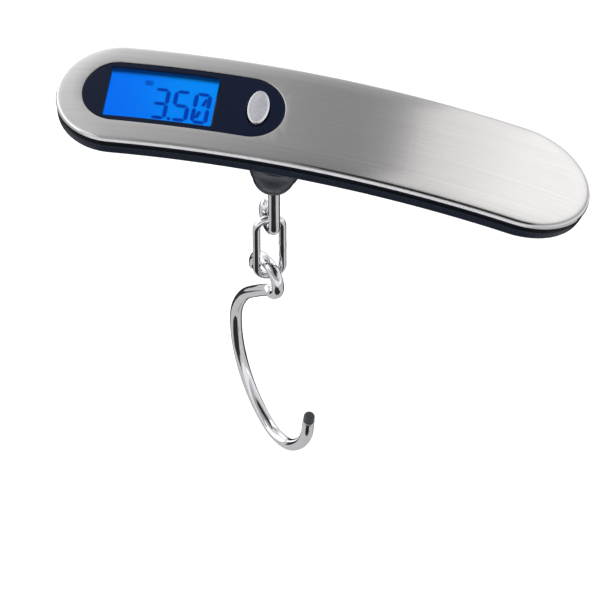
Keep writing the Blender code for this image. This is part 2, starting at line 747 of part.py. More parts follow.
def make_swivel(parts):
    """Stem with its pigtail eye, and the nut and washer that carry it on the load cell."""
    stem = stem_place()
    side = eye_direction()
    seat = nut_seat()
    top = seat + 3.1 * MM
    bend = -EYE_BOTTOM + EYE_OFFSET
    points = [stem + Vector((0, 0, height)) for height in (top, (top + bend) / 2, bend)]
    steps = 12
    for index in range(1, steps):
        angle = math.pi * index / steps
        across = EYE_OFFSET * (1 - math.cos(angle))
        points.append(stem + side * across + Vector((0, 0, bend - EYE_OFFSET * math.sin(angle))))
    for height in (bend, -STEM_TAIL):
        points.append(stem + side * EYE_OFFSET * 2 + Vector((0, 0, height)))
    swivel = pivot("swivel_axis", stem, parts)
    rod_piece = wire("swivel_stem", points, STEM_WIRE, parts, "chrome", resolution=4)
    ride(rod_piece, swivel)
    bore = STEM_WIRE + 0.2 * MM
    washer_top = seat + GAP + 0.5 * MM
    washer = turned("swivel_washer", ((bore, 0.5 * MM), (3.2 * MM, 0.5 * MM), (3.2 * MM, 0), (bore, 0),
                                      (bore, 0.5 * MM)), parts, "alloy", steps=24)
    washer.location = stem + Vector((0, 0, washer_top - 0.5 * MM))
    ride(washer, swivel)
    flats = (STEM_WIRE + 0.2 * MM) / math.cos(math.pi / 6)
    nut = turned("swivel_nut", ((flats, 1.8 * MM), (3.0 * MM, 1.8 * MM), (3.0 * MM, 0), (flats, 0),
                                (flats, 1.8 * MM)), parts, "alloy", steps=6)
    nut.location = stem + Vector((0, 0, washer_top + GAP))
    ride(nut, swivel)
    return stem + side * EYE_OFFSET + Vector((0, 0, -EYE_BOTTOM))


def make_link(eye_floor, parts):
    """Oval link hanging in the eye; returns the middle of its lower bend."""
    across = Vector((math.cos(LINK_TURN), math.sin(LINK_TURN), 0))
    top = eye_floor.z + STEM_WIRE + GAP + LINK_WIRE
    centre = Vector((eye_floor.x, eye_floor.y, top - LINK_LONG / 2))
    straight = LINK_LONG / 2 - LINK_HALF
    points = []
    steps = 12
    for side in (1, -1):
        for index in range(steps + 1):
            angle = math.pi * index / steps
            reach = LINK_HALF * math.cos(angle) * side
            rise = side * (straight + LINK_HALF * math.sin(angle))
            points.append(centre + across * reach + Vector((0, 0, rise)))
    hinge = pivot("link_axis", eye_floor, parts)
    link = wire("chain_link", points, LINK_WIRE, parts, "chrome", closed=True)
    ride(link, hinge)
    return Vector((centre.x, centre.y, top - LINK_LONG))


HOOK_EYE_STEPS = 14
HOOK_SHANK = ((-7.2, -12.6), (-13.6, -20.4), (-17.8, -30.0), (-18.6, -39.0), (-17.2, -49.0), (-13.3, -59.0),
              (-7.0, -67.0), (1.2, -71.6), (9.3, -69.8), (15.6, -63.0), (19.2, -55.2), (20.4, -47.6))


def hook_route(link_floor):
    """Centre line of the hook from the free end of its eye to its tip."""
    across = Vector((math.cos(HOOK_TURN), math.sin(HOOK_TURN), 0))
    reach = HOOK_EYE - LINK_WIRE - HOOK_PLAY - HOOK_WIRE
    eye = link_floor.z - math.sqrt(reach ** 2 - HOOK_EYE_BACK ** 2)
    points = []
    for index in range(HOOK_EYE_STEPS + 1):
        angle = math.radians(196 - 276 * index / HOOK_EYE_STEPS)
        points.append((HOOK_EYE * math.cos(angle) - HOOK_EYE_BACK, eye + HOOK_EYE * math.sin(angle)))
    for a, b in HOOK_SHANK:
        points.append((a * MM, eye + b * MM))
    base = Vector((link_floor.x, link_floor.y, 0))
    return [base + across * a + Vector((0, 0, b)) for a, b in points]


def make_hook(link_floor, parts):
    points = hook_route(link_floor)
    turns = HOOK_EYE_STEPS - 1
    route = points[:turns] + smooth_route(points[turns:], 3)
    tip = route[-1]
    along = (route[-1] - route[-2]).normalized()
    eye_normal = HOOK_TURN + math.pi / 2
    axis_turn = LINK_TURN + HOOK_AXIS_SHARE * (eye_normal - LINK_TURN)
    hinge = pivot("hook_axis", link_floor, parts, axis_turn)
    hook = wire("hook", route, HOOK_WIRE, parts, "chrome", resolution=3)
    ride(hook, hinge)
    plug = HOOK_WIRE - CAP_STEP
    cap = turned("hook_tip_cap", (
        (0, GAP + CAP_LONG), (plug * 0.6, GAP + CAP_LONG - 0.2 * MM), (plug, GAP + CAP_LONG - 0.8 * MM),
        (plug, GAP + 0.8 * MM), (HOOK_WIRE, GAP + 0.8 * MM), (HOOK_WIRE, GAP), (0, GAP)), parts, "black", 20)
    cap.matrix_world = Matrix.Translation(tip) @ along.to_track_quat("Z", "Y").to_matrix().to_4x4()
    ride(cap, hinge)


# ---------------------------------------------------------------- fasteners of the shells

def make_housing_screws(parts):
    for number, (station, y) in enumerate(housing_screw_places(), 1):
        frame = local_frame(station)
        length = HEAD_SEAT - FRAME_BOTTOM + 0.8 * MM
        make_screw("housing_screw_%d" % number, (0, y, -HEAD_SEAT - GAP), HOUSING_SCREW, HOUSING_SCREW_HEAD,
                   length, frame, parts)


def main():
    clear_scene()
    parts = new_collection("luggage_scale")
    tools = new_collection("cutters")
    make_top_cover(parts, tools)
    make_upper_frame(parts, tools)
    make_lower_housing(parts, tools)
    make_battery_door(parts, tools)
    make_window(parts, tools)
    make_display(parts)
    make_board(parts, tools)
    make_button(parts)
    make_load_cell(parts, tools)
    make_wires(parts)
    make_battery(parts, tools)
    make_dome(parts)
    eye_floor = make_swivel(parts)
    link_floor = make_link(eye_floor, parts)
    make_hook(link_floor, parts)
    make_housing_screws(parts)
    for item in tools.objects:
        item.hide_render = True
        item.display_type = "WIRE"


main()
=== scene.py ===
"""Looks of a digital luggage scale: brushed grip, lit display, chrome chain and hook."""
import logging
import math
from dataclasses import dataclass, field, replace
from enum import Enum
from typing import Callable, Sequence

import bmesh
import bpy
from mathutils import Matrix, Vector


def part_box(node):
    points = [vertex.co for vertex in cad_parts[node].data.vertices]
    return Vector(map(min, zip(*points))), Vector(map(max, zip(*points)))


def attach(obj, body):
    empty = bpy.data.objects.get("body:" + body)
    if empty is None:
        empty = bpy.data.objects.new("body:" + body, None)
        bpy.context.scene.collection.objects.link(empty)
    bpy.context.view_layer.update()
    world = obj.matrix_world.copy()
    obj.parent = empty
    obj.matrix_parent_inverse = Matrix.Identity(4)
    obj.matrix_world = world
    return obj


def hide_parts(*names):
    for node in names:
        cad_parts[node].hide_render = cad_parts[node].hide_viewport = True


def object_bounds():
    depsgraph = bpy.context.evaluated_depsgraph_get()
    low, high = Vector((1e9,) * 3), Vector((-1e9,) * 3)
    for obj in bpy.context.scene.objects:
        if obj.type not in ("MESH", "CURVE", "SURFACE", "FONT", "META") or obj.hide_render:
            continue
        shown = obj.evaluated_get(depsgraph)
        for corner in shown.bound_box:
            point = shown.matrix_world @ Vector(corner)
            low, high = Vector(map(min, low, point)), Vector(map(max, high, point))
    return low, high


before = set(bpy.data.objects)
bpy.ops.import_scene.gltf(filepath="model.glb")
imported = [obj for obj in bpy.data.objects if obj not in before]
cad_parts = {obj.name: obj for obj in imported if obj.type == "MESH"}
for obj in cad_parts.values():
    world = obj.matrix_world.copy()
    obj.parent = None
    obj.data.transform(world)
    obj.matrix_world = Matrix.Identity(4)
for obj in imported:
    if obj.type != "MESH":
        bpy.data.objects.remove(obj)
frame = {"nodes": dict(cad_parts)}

LOG = logging.getLogger("luggage_scale")
CAD_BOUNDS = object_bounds()
MM = 0.001
GAP = 0.3 * MM
BELOW = -20.0 * MM          # a height under the whole housing
TINY = 1e-7                 # merge distance
NOISE_SPAN = (0.3, 0.7)     # values between which a noise mostly stays
LEAST_ROUGH = 0.01
UV_PER_METRE = 10.0

Point2 = tuple[float, float]
Outline = list[Point2]
Ring = tuple[Outline, float]


# ------------------------------------------------------------------ finishes

class Pattern(Enum):
    """What the fine structure of a finish looks like."""

    BRUSHED = "brushed"
    POLISHED = "polished"
    MOULDED = "moulded"
    LIT = "lit"
    PANEL_LIGHT = "panel_light"
    CLEAR = "clear"
    WOVEN_BOARD = "woven_board"
    MACHINED = "machined"
    FLOOR = "floor"


def ramp(tree: bpy.types.NodeTree, source: bpy.types.NodeSocket, reach: Point2, values: Point2,
         soft: bool = False) -> bpy.types.NodeSocket:
    """Add a clamped ramp over one value.

    Args:
        tree: Node tree to add to.
        source: Value that drives it.
        reach: Driving values where the ramp starts and ends.
        values: Results there.
        soft: Whether the ramp eases in and out.

    Returns:
        The ramp's output.
    """
    node = tree.nodes.new("ShaderNodeMapRange")
    if soft:
        node.interpolation_type = "SMOOTHSTEP"
    node.inputs["From Min"].default_value, node.inputs["From Max"].default_value = reach
    node.inputs["To Min"].default_value, node.inputs["To Max"].default_value = values
    tree.links.new(source, node.inputs["Value"])
    return node.outputs["Result"]


def product(tree: bpy.types.NodeTree, first: bpy.types.NodeSocket,
            second: bpy.types.NodeSocket) -> bpy.types.NodeSocket:
    """Add the product of two values.

    Args:
        tree: Node tree to add to.
        first: One value.
        second: The other value.

    Returns:
        The product's output.
    """
    node = tree.nodes.new("ShaderNodeMath")
    node.operation = "MULTIPLY"
    tree.links.new(first, node.inputs[0])
    tree.links.new(second, node.inputs[1])
    return node.outputs["Value"]


def coordinates(tree: bpy.types.NodeTree, source: str) -> bpy.types.NodeOutputs:
    """Add split texture coordinates.

    Args:
        tree: Node tree to add to.
        source: Output of the texture coordinate node.

    Returns:
        The outputs X, Y and Z.
    """
    place = tree.nodes.new("ShaderNodeTexCoord")
    split = tree.nodes.new("ShaderNodeSeparateXYZ")
    tree.links.new(place.outputs[source], split.inputs["Vector"])
    return split.outputs


@dataclass(frozen=True)
class Finish:
    """A procedural surface finish.

    Attributes:
        name: Name of the material.
        slot: Material slot of the record that it stands for; not used.
        colour: Base colour, linear.
        rough: Mean roughness.
        metal: Metallic value.
        pattern: Fine structure of the surface.
        grain: Size of the fine structure in metres.
        relief: Strength of its bump.
        coat: Weight of a clear coat.
        glow: Strength of its own light.
        index: Refractive index.
    """

    name: str
    slot: str
    colour: tuple[float, float, float]
    rough: float
    metal: float = 0.0
    pattern: Pattern = Pattern.MOULDED
    grain: float = 0.6 * MM
    relief: float = 0.05
    coat: float = 0.0
    glow: float = 0.0
    index: float = 1.45

    def material(self) -> bpy.types.Material:
        """Return the Blender material, made on first use.

        Returns:
            The material with its node tree.
        """
        known = bpy.data.materials.get(self.name)
        if known:
            return known
        made = bpy.data.materials.new(self.name)
        made.use_nodes = True
        tree = made.node_tree
        shader = tree.nodes["Principled BSDF"]
        shader.inputs["Base Color"].default_value = (*self.colour, 1.0)
        shader.inputs["Roughness"].default_value = self.rough
        shader.inputs["Metallic"].default_value = self.metal
        shader.inputs["Coat Weight"].default_value = self.coat
        shader.inputs["Coat Roughness"].default_value = 0.04
        shader.inputs["IOR"].default_value = self.index
        weave: dict[Pattern, Callable[[bpy.types.NodeTree, bpy.types.Node], None]] = {
            Pattern.BRUSHED: self._brushed,
            Pattern.POLISHED: self._polished,
            Pattern.MOULDED: self._moulded,
            Pattern.LIT: self._lit,
            Pattern.PANEL_LIGHT: self._panel_light,
            Pattern.CLEAR: self._clear,
            Pattern.WOVEN_BOARD: self._board,
            Pattern.MACHINED: self._machined,
            Pattern.FLOOR: self._moulded,
        }
        weave[self.pattern](tree, shader)
        return made

    def _noise(self, tree: bpy.types.NodeTree, stretch: Sequence[float], detail: float = 4.0,
               coords: str = "Object") -> bpy.types.Node:
        """Add a noise texture in object space.

        Args:
            tree: Node tree to add to.
            stretch: Scale along X, Y and Z, in cycles per metre.
            detail: Octaves of the noise.
            coords: Output of the texture coordinate node.

        Returns:
            The noise node.
        """
        place = tree.nodes.new("ShaderNodeTexCoord")
        mapping = tree.nodes.new("ShaderNodeMapping")
        mapping.inputs["Scale"].default_value = tuple(stretch)
        noise = tree.nodes.new("ShaderNodeTexNoise")
        noise.inputs["Scale"].default_value = 1.0
        noise.inputs["Detail"].default_value = detail
        tree.links.new(place.outputs[coords], mapping.inputs["Vector"])
        tree.links.new(mapping.outputs["Vector"], noise.inputs["Vector"])
        return noise

    def _roughen(self, tree: bpy.types.NodeTree, shader: bpy.types.Node, source: bpy.types.Node,
                 less: float, more: float) -> None:
        """Vary the roughness with a noise.

        Args:
            tree: Node tree to add to.
            shader: Principled shader.
            source: Noise node.
            less: How far the roughness falls below its mean.
            more: How far it rises above it.
        """
        spread = (max(LEAST_ROUGH, self.rough - less), self.rough + more)
        tree.links.new(ramp(tree, source.outputs["Fac"], NOISE_SPAN, spread), shader.inputs["Roughness"])

    def _tint(self, tree: bpy.types.NodeTree, shader: bpy.types.Node, source: bpy.types.Node,
              spread: float) -> None:
        """Vary the base colour a little with a noise.

        Args:
            tree: Node tree to add to.
            shader: Principled shader.
            source: Noise node.
            spread: Share by which the colour varies either way.
        """
        tones = [tuple(min(1.0, part * share) for part in self.colour) for share in (1 - spread, 1 + spread)]
        self._blend(tree, source, NOISE_SPAN, tones, shader.inputs["Base Color"])

    @staticmethod
    def _blend(tree: bpy.types.NodeTree, source: bpy.types.Node, reach: Point2,
               tones: Sequence[Sequence[float]], target: bpy.types.NodeSocket) -> None:
        """Drive a colour between two tones with a noise.

        Args:
            tree: Node tree to add to.
            source: Noise node.
            reach: Noise values of the two tones.
            tones: The two tones.
            target: Colour input to drive.
        """
        blend = tree.nodes.new("ShaderNodeValToRGB")
        for element, position, tone in zip(blend.color_ramp.elements, reach, tones):
            element.position = position
            element.color = (*tone, 1.0)
        tree.links.new(source.outputs["Fac"], blend.inputs["Fac"])
        tree.links.new(blend.outputs["Color"], target)

    def _bump(self, tree: bpy.types.NodeTree, shader: bpy.types.Node, source: bpy.types.Node,
              depth: float) -> None:
        """Bump the shader's normal with a noise.

        Args:
            tree: Node tree to add to.
            shader: Principled shader.
            source: Noise node.
            depth: Height of the bump in metres.
        """
        bump = tree.nodes.new("ShaderNodeBump")
        bump.inputs["Strength"].default_value = self.relief
        bump.inputs["Distance"].default_value = depth
        tree.links.new(source.outputs["Fac"], bump.inputs["Height"])
        tree.links.new(bump.outputs["Normal"], shader.inputs["Normal"])

    def _brushed(self, tree: bpy.types.NodeTree, shader: bpy.types.Node) -> None:
        """Fine lines along the grip, with an anisotropic gloss."""
        fine = self._noise(tree, (70.0, 1.0 / self.grain, 0.0), 6.0)
        broad = self._noise(tree, (8.0, 0.12 / self.grain, 0.0), 3.0)
        self._roughen(tree, shader, fine, 0.02, 0.03)
        self._tint(tree, shader, broad, 0.03)
        self._bump(tree, shader, fine, 0.02 * MM)
        shader.inputs["Anisotropic"].default_value = 0.95
        shader.inputs["Anisotropic Rotation"].default_value = 0.25
        tangent = tree.nodes.new("ShaderNodeTangent")
        tangent.direction_type = "UV_MAP"
        tangent.uv_map = "flat"
        tree.links.new(tangent.outputs["Tangent"], shader.inputs["Tangent"])

    def _polished(self, tree: bpy.types.NodeTree, shader: bpy.types.Node) -> None:
        """Plating with a little waviness and faint handling marks."""
        marks = self._noise(tree, (900.0, 900.0, 260.0), 5.0)
        wave = self._noise(tree, (140.0, 140.0, 90.0), 2.0)
        self._roughen(tree, shader, marks, 0.03, 0.05)
        self._tint(tree, shader, wave, 0.03)
        self._bump(tree, shader, wave, 0.08 * MM)

    def _moulded(self, tree: bpy.types.NodeTree, shader: bpy.types.Node) -> None:
        """Moulded plastic: a fine orange peel and a faint change of tone."""
        scale = 1.0 / self.grain
        peel = self._noise(tree, (scale, scale, scale), 3.0)
        broad = self._noise(tree, (45.0, 45.0, 45.0), 3.0)
        self._roughen(tree, shader, peel, 0.04, 0.06)
        self._tint(tree, shader, broad, 0.08)
        self._bump(tree, shader, peel, 0.05 * MM)

    def _lit(self, tree: bpy.types.NodeTree, shader: bpy.types.Node) -> None:
        """Light guide behind the display: a little brighter in places."""
        mottle = self._noise(tree, (26.0, 40.0, 26.0), 3.0)
        dim = (self.colour[0], self.colour[1] * 0.80, self.colour[2] * 0.95)
        self._blend(tree, mottle, (0.35, 0.65), (dim, self.colour), shader.inputs["Emission Color"])
        shader.inputs["Emission Strength"].default_value = self.glow
        shader.inputs["Base Color"].default_value = (0.0, 0.002, 0.01, 1.0)

    def _panel_light(self, tree: bpy.types.NodeTree, shader: bpy.types.Node) -> None:
        """Edge lit panel: brighter towards the button and shaded under the edges of its opening."""
        self._lit(tree, shader)
        place = coordinates(tree, "Object")
        far = ramp(tree, place["Y"], (9.3 * MM, 7.3 * MM), (0.09, 1.0), soft=True)
        near = ramp(tree, place["Y"], (-9.5 * MM, -8.2 * MM), (0.35, 1.0), soft=True)
        tree.links.new(product(tree, far, near), shader.inputs["Emission Strength"])
        green = tree.nodes.new("ShaderNodeCombineColor")
        green.inputs["Red"].default_value = 1.0
        green.inputs["Blue"].default_value = 1.0
        along = ramp(tree, place["X"], (-64.0 * MM, -40.0 * MM), (0.70, 1.0), soft=True)
        tree.links.new(along, green.inputs["Green"])
        tint = tree.nodes.new("ShaderNodeMix")
        tint.data_type = "RGBA"
        tint.blend_type = "MULTIPLY"
        tint.inputs["Factor"].default_value = 1.0
        source = shader.inputs["Emission Color"].links[0].from_socket
        tree.links.new(source, tint.inputs["A"])
        tree.links.new(green.outputs["Color"], tint.inputs["B"])
        tree.links.new(tint.outputs["Result"], shader.inputs["Emission Color"])

    def _clear(self, tree: bpy.types.NodeTree, shader: bpy.types.Node) -> None:
        """Clear moulded pane with a barely visible waviness."""
        wave = self._noise(tree, (80.0, 80.0, 80.0), 2.0)
        self._bump(tree, shader, wave, 0.02 * MM)
        shader.inputs["Transmission Weight"].default_value = 1.0

    def _board(self, tree: bpy.types.NodeTree, shader: bpy.types.Node) -> None:
        """Solder mask over a glass weave."""
        weave = self._noise(tree, (1800.0, 1800.0, 300.0), 2.0)
        self._tint(tree, shader, weave, 0.15)
        self._bump(tree, shader, weave, 0.05 * MM)

    def _machined(self, tree: bpy.types.NodeTree, shader: bpy.types.Node) -> None:
        """Milled or stamped metal with short tool marks."""
        marks = self._noise(tree, (120.0, 2200.0, 400.0), 4.0)
        self._roughen(tree, shader, marks, 0.06, 0.10)
        self._tint(tree, shader, marks, 0.06)
        self._bump(tree, shader, marks, 0.03 * MM)


STEEL = Finish("brushed_steel_cover", "brushed_steel", (0.60, 0.585, 0.575), 0.21, 1.0, Pattern.BRUSHED, 0.11 * MM,
               0.1)
RIM_STEEL = Finish("polished_rim", "brushed_steel", (0.72, 0.71, 0.72), 0.12, 1.0, Pattern.POLISHED, relief=0.04)
CHROME = Finish("chrome_plate", "chrome", (0.86, 0.85, 0.87), 0.05, 1.0, Pattern.POLISHED, relief=0.10)
BUTTON_METAL = Finish("button_metal", "chrome", (0.80, 0.79, 0.84), 0.26, 1.0, Pattern.POLISHED, relief=0.02)
BLACK = Finish("housing_black", "black_gloss", (0.010, 0.013, 0.022), 0.26, 0.0, Pattern.MOULDED, 0.5 * MM, 0.05,
               index=1.25)
DOME_BLACK = Finish("dome_black", "black_gloss", (0.010, 0.012, 0.020), 0.14, 0.0, Pattern.MOULDED, 0.7 * MM, 0.015,
                    index=1.2)
# Painted shade: the seam bead's black is darker and duller than the housing's, for the shadow in the gap between
# cover and housing.
SEAM_SHADE_BLACK = Finish("seam_painted_shade", "black_gloss", (0.002, 0.003, 0.005), 0.4, 0.0, Pattern.MOULDED, 0.5 * MM, 0.05,
                    index=1.15)
NAVY = Finish("panel_navy", "navy_gloss", (0.003, 0.006, 0.017), 0.12, 0.0, Pattern.MOULDED, 1.2 * MM, 0.02,
              index=1.22)
LIT_BLUE = Finish("display_light", "lcd_blue", (0.0, 0.25, 0.91), 0.4, 0.0, Pattern.PANEL_LIGHT, glow=1.0, index=1.05)
# Painted light and shade: a thin ring round the lit panel glows a darker blue, for the walls of the opening lit by
# the display.
EDGE_GLOW_PAINTED = Finish("display_edge_painted_glow", "lcd_blue", (0.0, 0.03, 0.14), 0.4, 0.0, Pattern.LIT, glow=1.0, index=1.05)
INK = Finish("display_ink", "lcd_blue", (0.0, 0.046, 0.41), 0.5, 0.0, Pattern.LIT, glow=1.0, index=1.05)
CLEAR = Finish("clear_pane", "clear", (1.0, 1.0, 1.0), 0.02, 0.0, Pattern.CLEAR, relief=0.02, index=1.1)
RUBBER = Finish("tip_rubber", "black_rubber", (0.035, 0.038, 0.042), 0.42, 0.0, Pattern.MOULDED, 0.4 * MM, 0.15)
GREY = Finish("grey_moulding", "grey_plastic", (0.11, 0.11, 0.12), 0.5, 0.0, Pattern.MOULDED, 0.4 * MM, 0.12)
WHITE = Finish("light_guide_white", "white_diffuser", (0.78, 0.78, 0.75), 0.45, 0.0, Pattern.MOULDED, 0.5 * MM, 0.08)
BOARD = Finish("solder_mask", "board_green", (0.015, 0.17, 0.06), 0.32, 0.0, Pattern.WOVEN_BOARD, relief=0.2,
               coat=0.3)
ALLOY = Finish("milled_alloy", "alloy", (0.60, 0.60, 0.62), 0.34, 1.0, Pattern.MACHINED, relief=0.2)
ZINC = Finish("zinc_plate", "zinc_steel", (0.56, 0.56, 0.57), 0.26, 1.0, Pattern.MACHINED, relief=0.15)
BRASS = Finish("spring_brass", "brass", (0.74, 0.52, 0.22), 0.28, 1.0, Pattern.MACHINED, relief=0.15)
RED = Finish("wire_sheath", "red_insulation", (0.48, 0.03, 0.02), 0.45, 0.0, Pattern.MOULDED, 0.3 * MM, 0.1)
FLOOR = Finish("pale_floor", "", (0.86, 0.86, 0.865), 0.7, 0.0, Pattern.FLOOR, 4.0 * MM, 0.02)
FLAG = Finish("black_flag", "", (0.008, 0.008, 0.009), 0.9, 0.0, Pattern.FLOOR, 4.0 * MM, 0.02)


# ------------------------------------------------------------------ mesh tools

def arc(x: float, y: float, wide: float, tall: float, begin: float, sweep: float, steps: int) -> Outline:
    """Return points along an elliptical arc, without the last where it closes.

    Args:
        x: Centre along the grip.
        y: Centre across.
        wide: Reach along the grip.
        tall: Reach across.
        begin: Angle of the first point in degrees.
        sweep: Angle covered in degrees.
        steps: Number of steps.

    Returns:
        The points.
    """
    count = steps if sweep >= 360.0 else steps + 1
    angles = (math.radians(begin + sweep * index / steps) for index in range(count))
    return [(x + wide * math.cos(angle), y + tall * math.sin(angle)) for angle in angles]


@dataclass(frozen=True)
class Grip:
    """The bent grip: flat coordinates are station, width and height over the top face.

    Attributes:
        length: Length along the arc.
        width: Width across.
        arc: Radius of the top face.
        pitch: Angle by which the middle of the grip leans down towards +X.
        left_cap: Length of the rounded display end.
        right_cap: Length of the rounded free end.
    """

    length: float = 160.0 * MM
    width: float = 36.9 * MM
    arc: float = 354.0 * MM
    pitch: float = math.radians(8.6)
    left_cap: float = 18.4 * MM
    right_cap: float = 22.1 * MM
    cap_steps: int = 28
    run_steps: int = 60

    def bent(self, s: float, y: float, z: float) -> Vector:
        """Return the place of a flat point.

        Args:
            s: Station along the grip.
            y: Width.
            z: Height over the top face.

        Returns:
            The point in the frame.
        """
        turn = s / self.arc + self.pitch
        reach = self.arc + z
        x_centre = -self.arc * math.sin(self.pitch)
        z_centre = -self.arc * math.cos(self.pitch)
        return Vector((x_centre + reach * math.sin(turn), y, z_centre + reach * math.cos(turn)))

    def local(self, s: float) -> Matrix:
        """Return the local frame at a station: tangent, +Y and outward normal.

        Args:
            s: Station along the grip.

        Returns:
            A rigid matrix.
        """
        turn = s / self.arc + self.pitch
        return Matrix.Translation(self.bent(s, 0, 0)) @ Matrix.Rotation(turn, 4, "Y")

    def outline(self, inset: float) -> Outline:
        """Return the grip's outline moved inwards, with points along its straight runs.

        Args:
            inset: Distance inwards.

        Returns:
            Points anticlockwise from the near side of the right end.
        """
        half = self.width / 2 - inset
        ends = (
            (self.length / 2 - self.right_cap, self.right_cap - inset, -90.0),
            (-self.length / 2 + self.left_cap, self.left_cap - inset, 90.0),
        )
        points: Outline = []
        for centre, reach, start in ends:
            points += arc(centre, 0.0, reach, half, start, 180.0, self.cap_steps * 2)
            last = points[-1][0]
            other = ends[1][0] if start < 0 else ends[0][0]
            for index in range(1, self.run_steps):
                share = index / self.run_steps
                points.append((last + (other - last) * share, half if start < 0 else -half))
        return points


GRIP = Grip()


def stadium(start: float, end: float, half: float, cap: float, inset: float, steps: int = 28) -> Outline:
    """Return a slot shaped outline with elliptical ends.

    Args:
        start: Station of its left end.
        end: Station of its right end.
        half: Half its width.
        cap: Length of its round ends.
        inset: Distance to move it inwards.
        steps: Points in a quarter of an end.

    Returns:
        Points anticlockwise from the near side of the right end.
    """
    points: Outline = []
    for centre, begin in ((end - cap, -90.0), (start + cap, 90.0)):
        points += arc(centre, 0.0, cap - inset, half - inset, begin, 180.0, steps * 2)
    return points


def oval(s: float, long: float, wide: float, inset: float, steps: int = 64) -> Outline:
    """Return an oval whose long side runs across the grip.

    Args:
        s: Station of its middle.
        long: Length across the grip.
        wide: Width along the grip.
        inset: Distance to move it inwards.
        steps: Number of points.

    Returns:
        Points anticlockwise.
    """
    return arc(s, 0.0, wide / 2 - inset, long / 2 - inset, 0.0, 360.0, steps)


def rounded_box(x0: float, x1: float, y0: float, y1: float, corner: float, steps: int = 6) -> Outline:
    """Return a rectangle with round corners.

    Args:
        x0: Left side.
        x1: Right side.
        y0: Near side.
        y1: Far side.
        corner: Corner radius.
        steps: Points in each corner.

    Returns:
        Points anticlockwise.
    """
    points: Outline = []
    for x, y, begin in ((x1 - corner, y0 + corner, -90), (x1 - corner, y1 - corner, 0),
                        (x0 + corner, y1 - corner, 90), (x0 + corner, y0 + corner, 180)):
        points += arc(x, y, corner, corner, begin, 90.0, steps)
    return points


def circle(x: float, y: float, radius: float, steps: int = 64) -> Outline:
    """Return a circle's points.

    Args:
        x: Centre along the grip.
        y: Centre across.
        radius: Radius.
        steps: Number of points.

    Returns:
        Points anticlockwise.
    """
    return arc(x, y, radius, radius, 0.0, 360.0, steps)


def loft(rings: Sequence[Ring], floor: bool = True, roof: bool = True) -> bmesh.types.BMesh:
    """Return a surface through rings of equal length.

    Args:
        rings: Outline and height of each section.
        floor: Whether the first ring is closed by a face.
        roof: Whether the last ring is closed by a face.

    Returns:
        The mesh, in flat coordinates.
    """
    bm = bmesh.new()
    loops = [[bm.verts.new((x, y, height)) for x, y in outline] for outline, height in rings]
    count = len(loops[0])
    for lower, upper in zip(loops, loops[1:]):
        for index in range(count):
            after = (index + 1) % count
            bm.faces.new((lower[index], lower[after], upper[after], upper[index]))
    if floor:
        bm.faces.new(loops[0])
    if roof:
        bm.faces.new(loops[-1])
    bmesh.ops.recalc_face_normals(bm, faces=bm.faces)
    return bm


def prism(outline: Outline, low: float, high: float) -> bmesh.types.BMesh:
    """Return a closed straight solid over an outline."""
    return loft(((outline, low), (outline, high)))


def smooth(points: Sequence[Sequence[float]], spans: int) -> list[Vector]:
    """Return a smooth curve through points.

    Args:
        points: Points of any dimension.
        spans: Steps between two neighbours.

    Returns:
        The curve's points, ends included.
    """
    own = [Vector(point) for point in points]
    route = [2 * own[0] - own[1], *own, 2 * own[-1] - own[-2]]
    made: list[Vector] = []
    for a, b, c, d in zip(route, route[1:], route[2:], route[3:]):
        for index in range(spans):
            t = index / spans
            made.append(0.5 * (2 * b + (c - a) * t + (2 * a - 5 * b + 4 * c - d) * t * t
                               + (3 * b - a - 3 * c + d) * t * t * t))
    made.append(own[-1])
    return made


def as_object(name: str, bm: bmesh.types.BMesh, sharp: float = 32.0) -> bpy.types.Object:
    """Turn a mesh into a smooth shaded object.

    Args:
        name: Object name.
        bm: Mesh, which is freed.
        sharp: Angle in degrees over which an edge stays sharp.

    Returns:
        The linked object.
    """
    bmesh.ops.recalc_face_normals(bm, faces=bm.faces)
    mesh = bpy.data.meshes.new(name)
    bm.to_mesh(mesh)
    bm.free()
    made = bpy.data.objects.new(name, mesh)
    bpy.context.scene.collection.objects.link(made)
    soften(made, sharp)
    return made


def soften(piece: bpy.types.Object, sharp: float) -> None:
    """Shade a piece smooth, apart from its sharp edges.

    Args:
        piece: Object to shade.
        sharp: Angle in degrees over which an edge stays sharp.
    """
    piece.data.shade_smooth()
    piece.data.set_sharp_from_angle(angle=math.radians(sharp))


def carve(target: bpy.types.Object, tool: bmesh.types.BMesh, operation: str = "DIFFERENCE") -> None:
    """Cut, join or intersect an object with a solid, and keep the result as its mesh.

    Args:
        target: Object to change.
        tool: Solid, which is freed.
        operation: Name of the Boolean operation.
    """
    cutter = as_object("cutter", tool)
    change = target.modifiers.new("cut", "BOOLEAN")
    change.operation = operation
    change.object = cutter
    bpy.context.view_layer.update()
    graph = bpy.context.evaluated_depsgraph_get()
    result = bpy.data.meshes.new_from_object(target.evaluated_get(graph))
    target.modifiers.clear()
    old = target.data
    target.data = result
    bpy.data.meshes.remove(old)
    bpy.data.objects.remove(cutter)


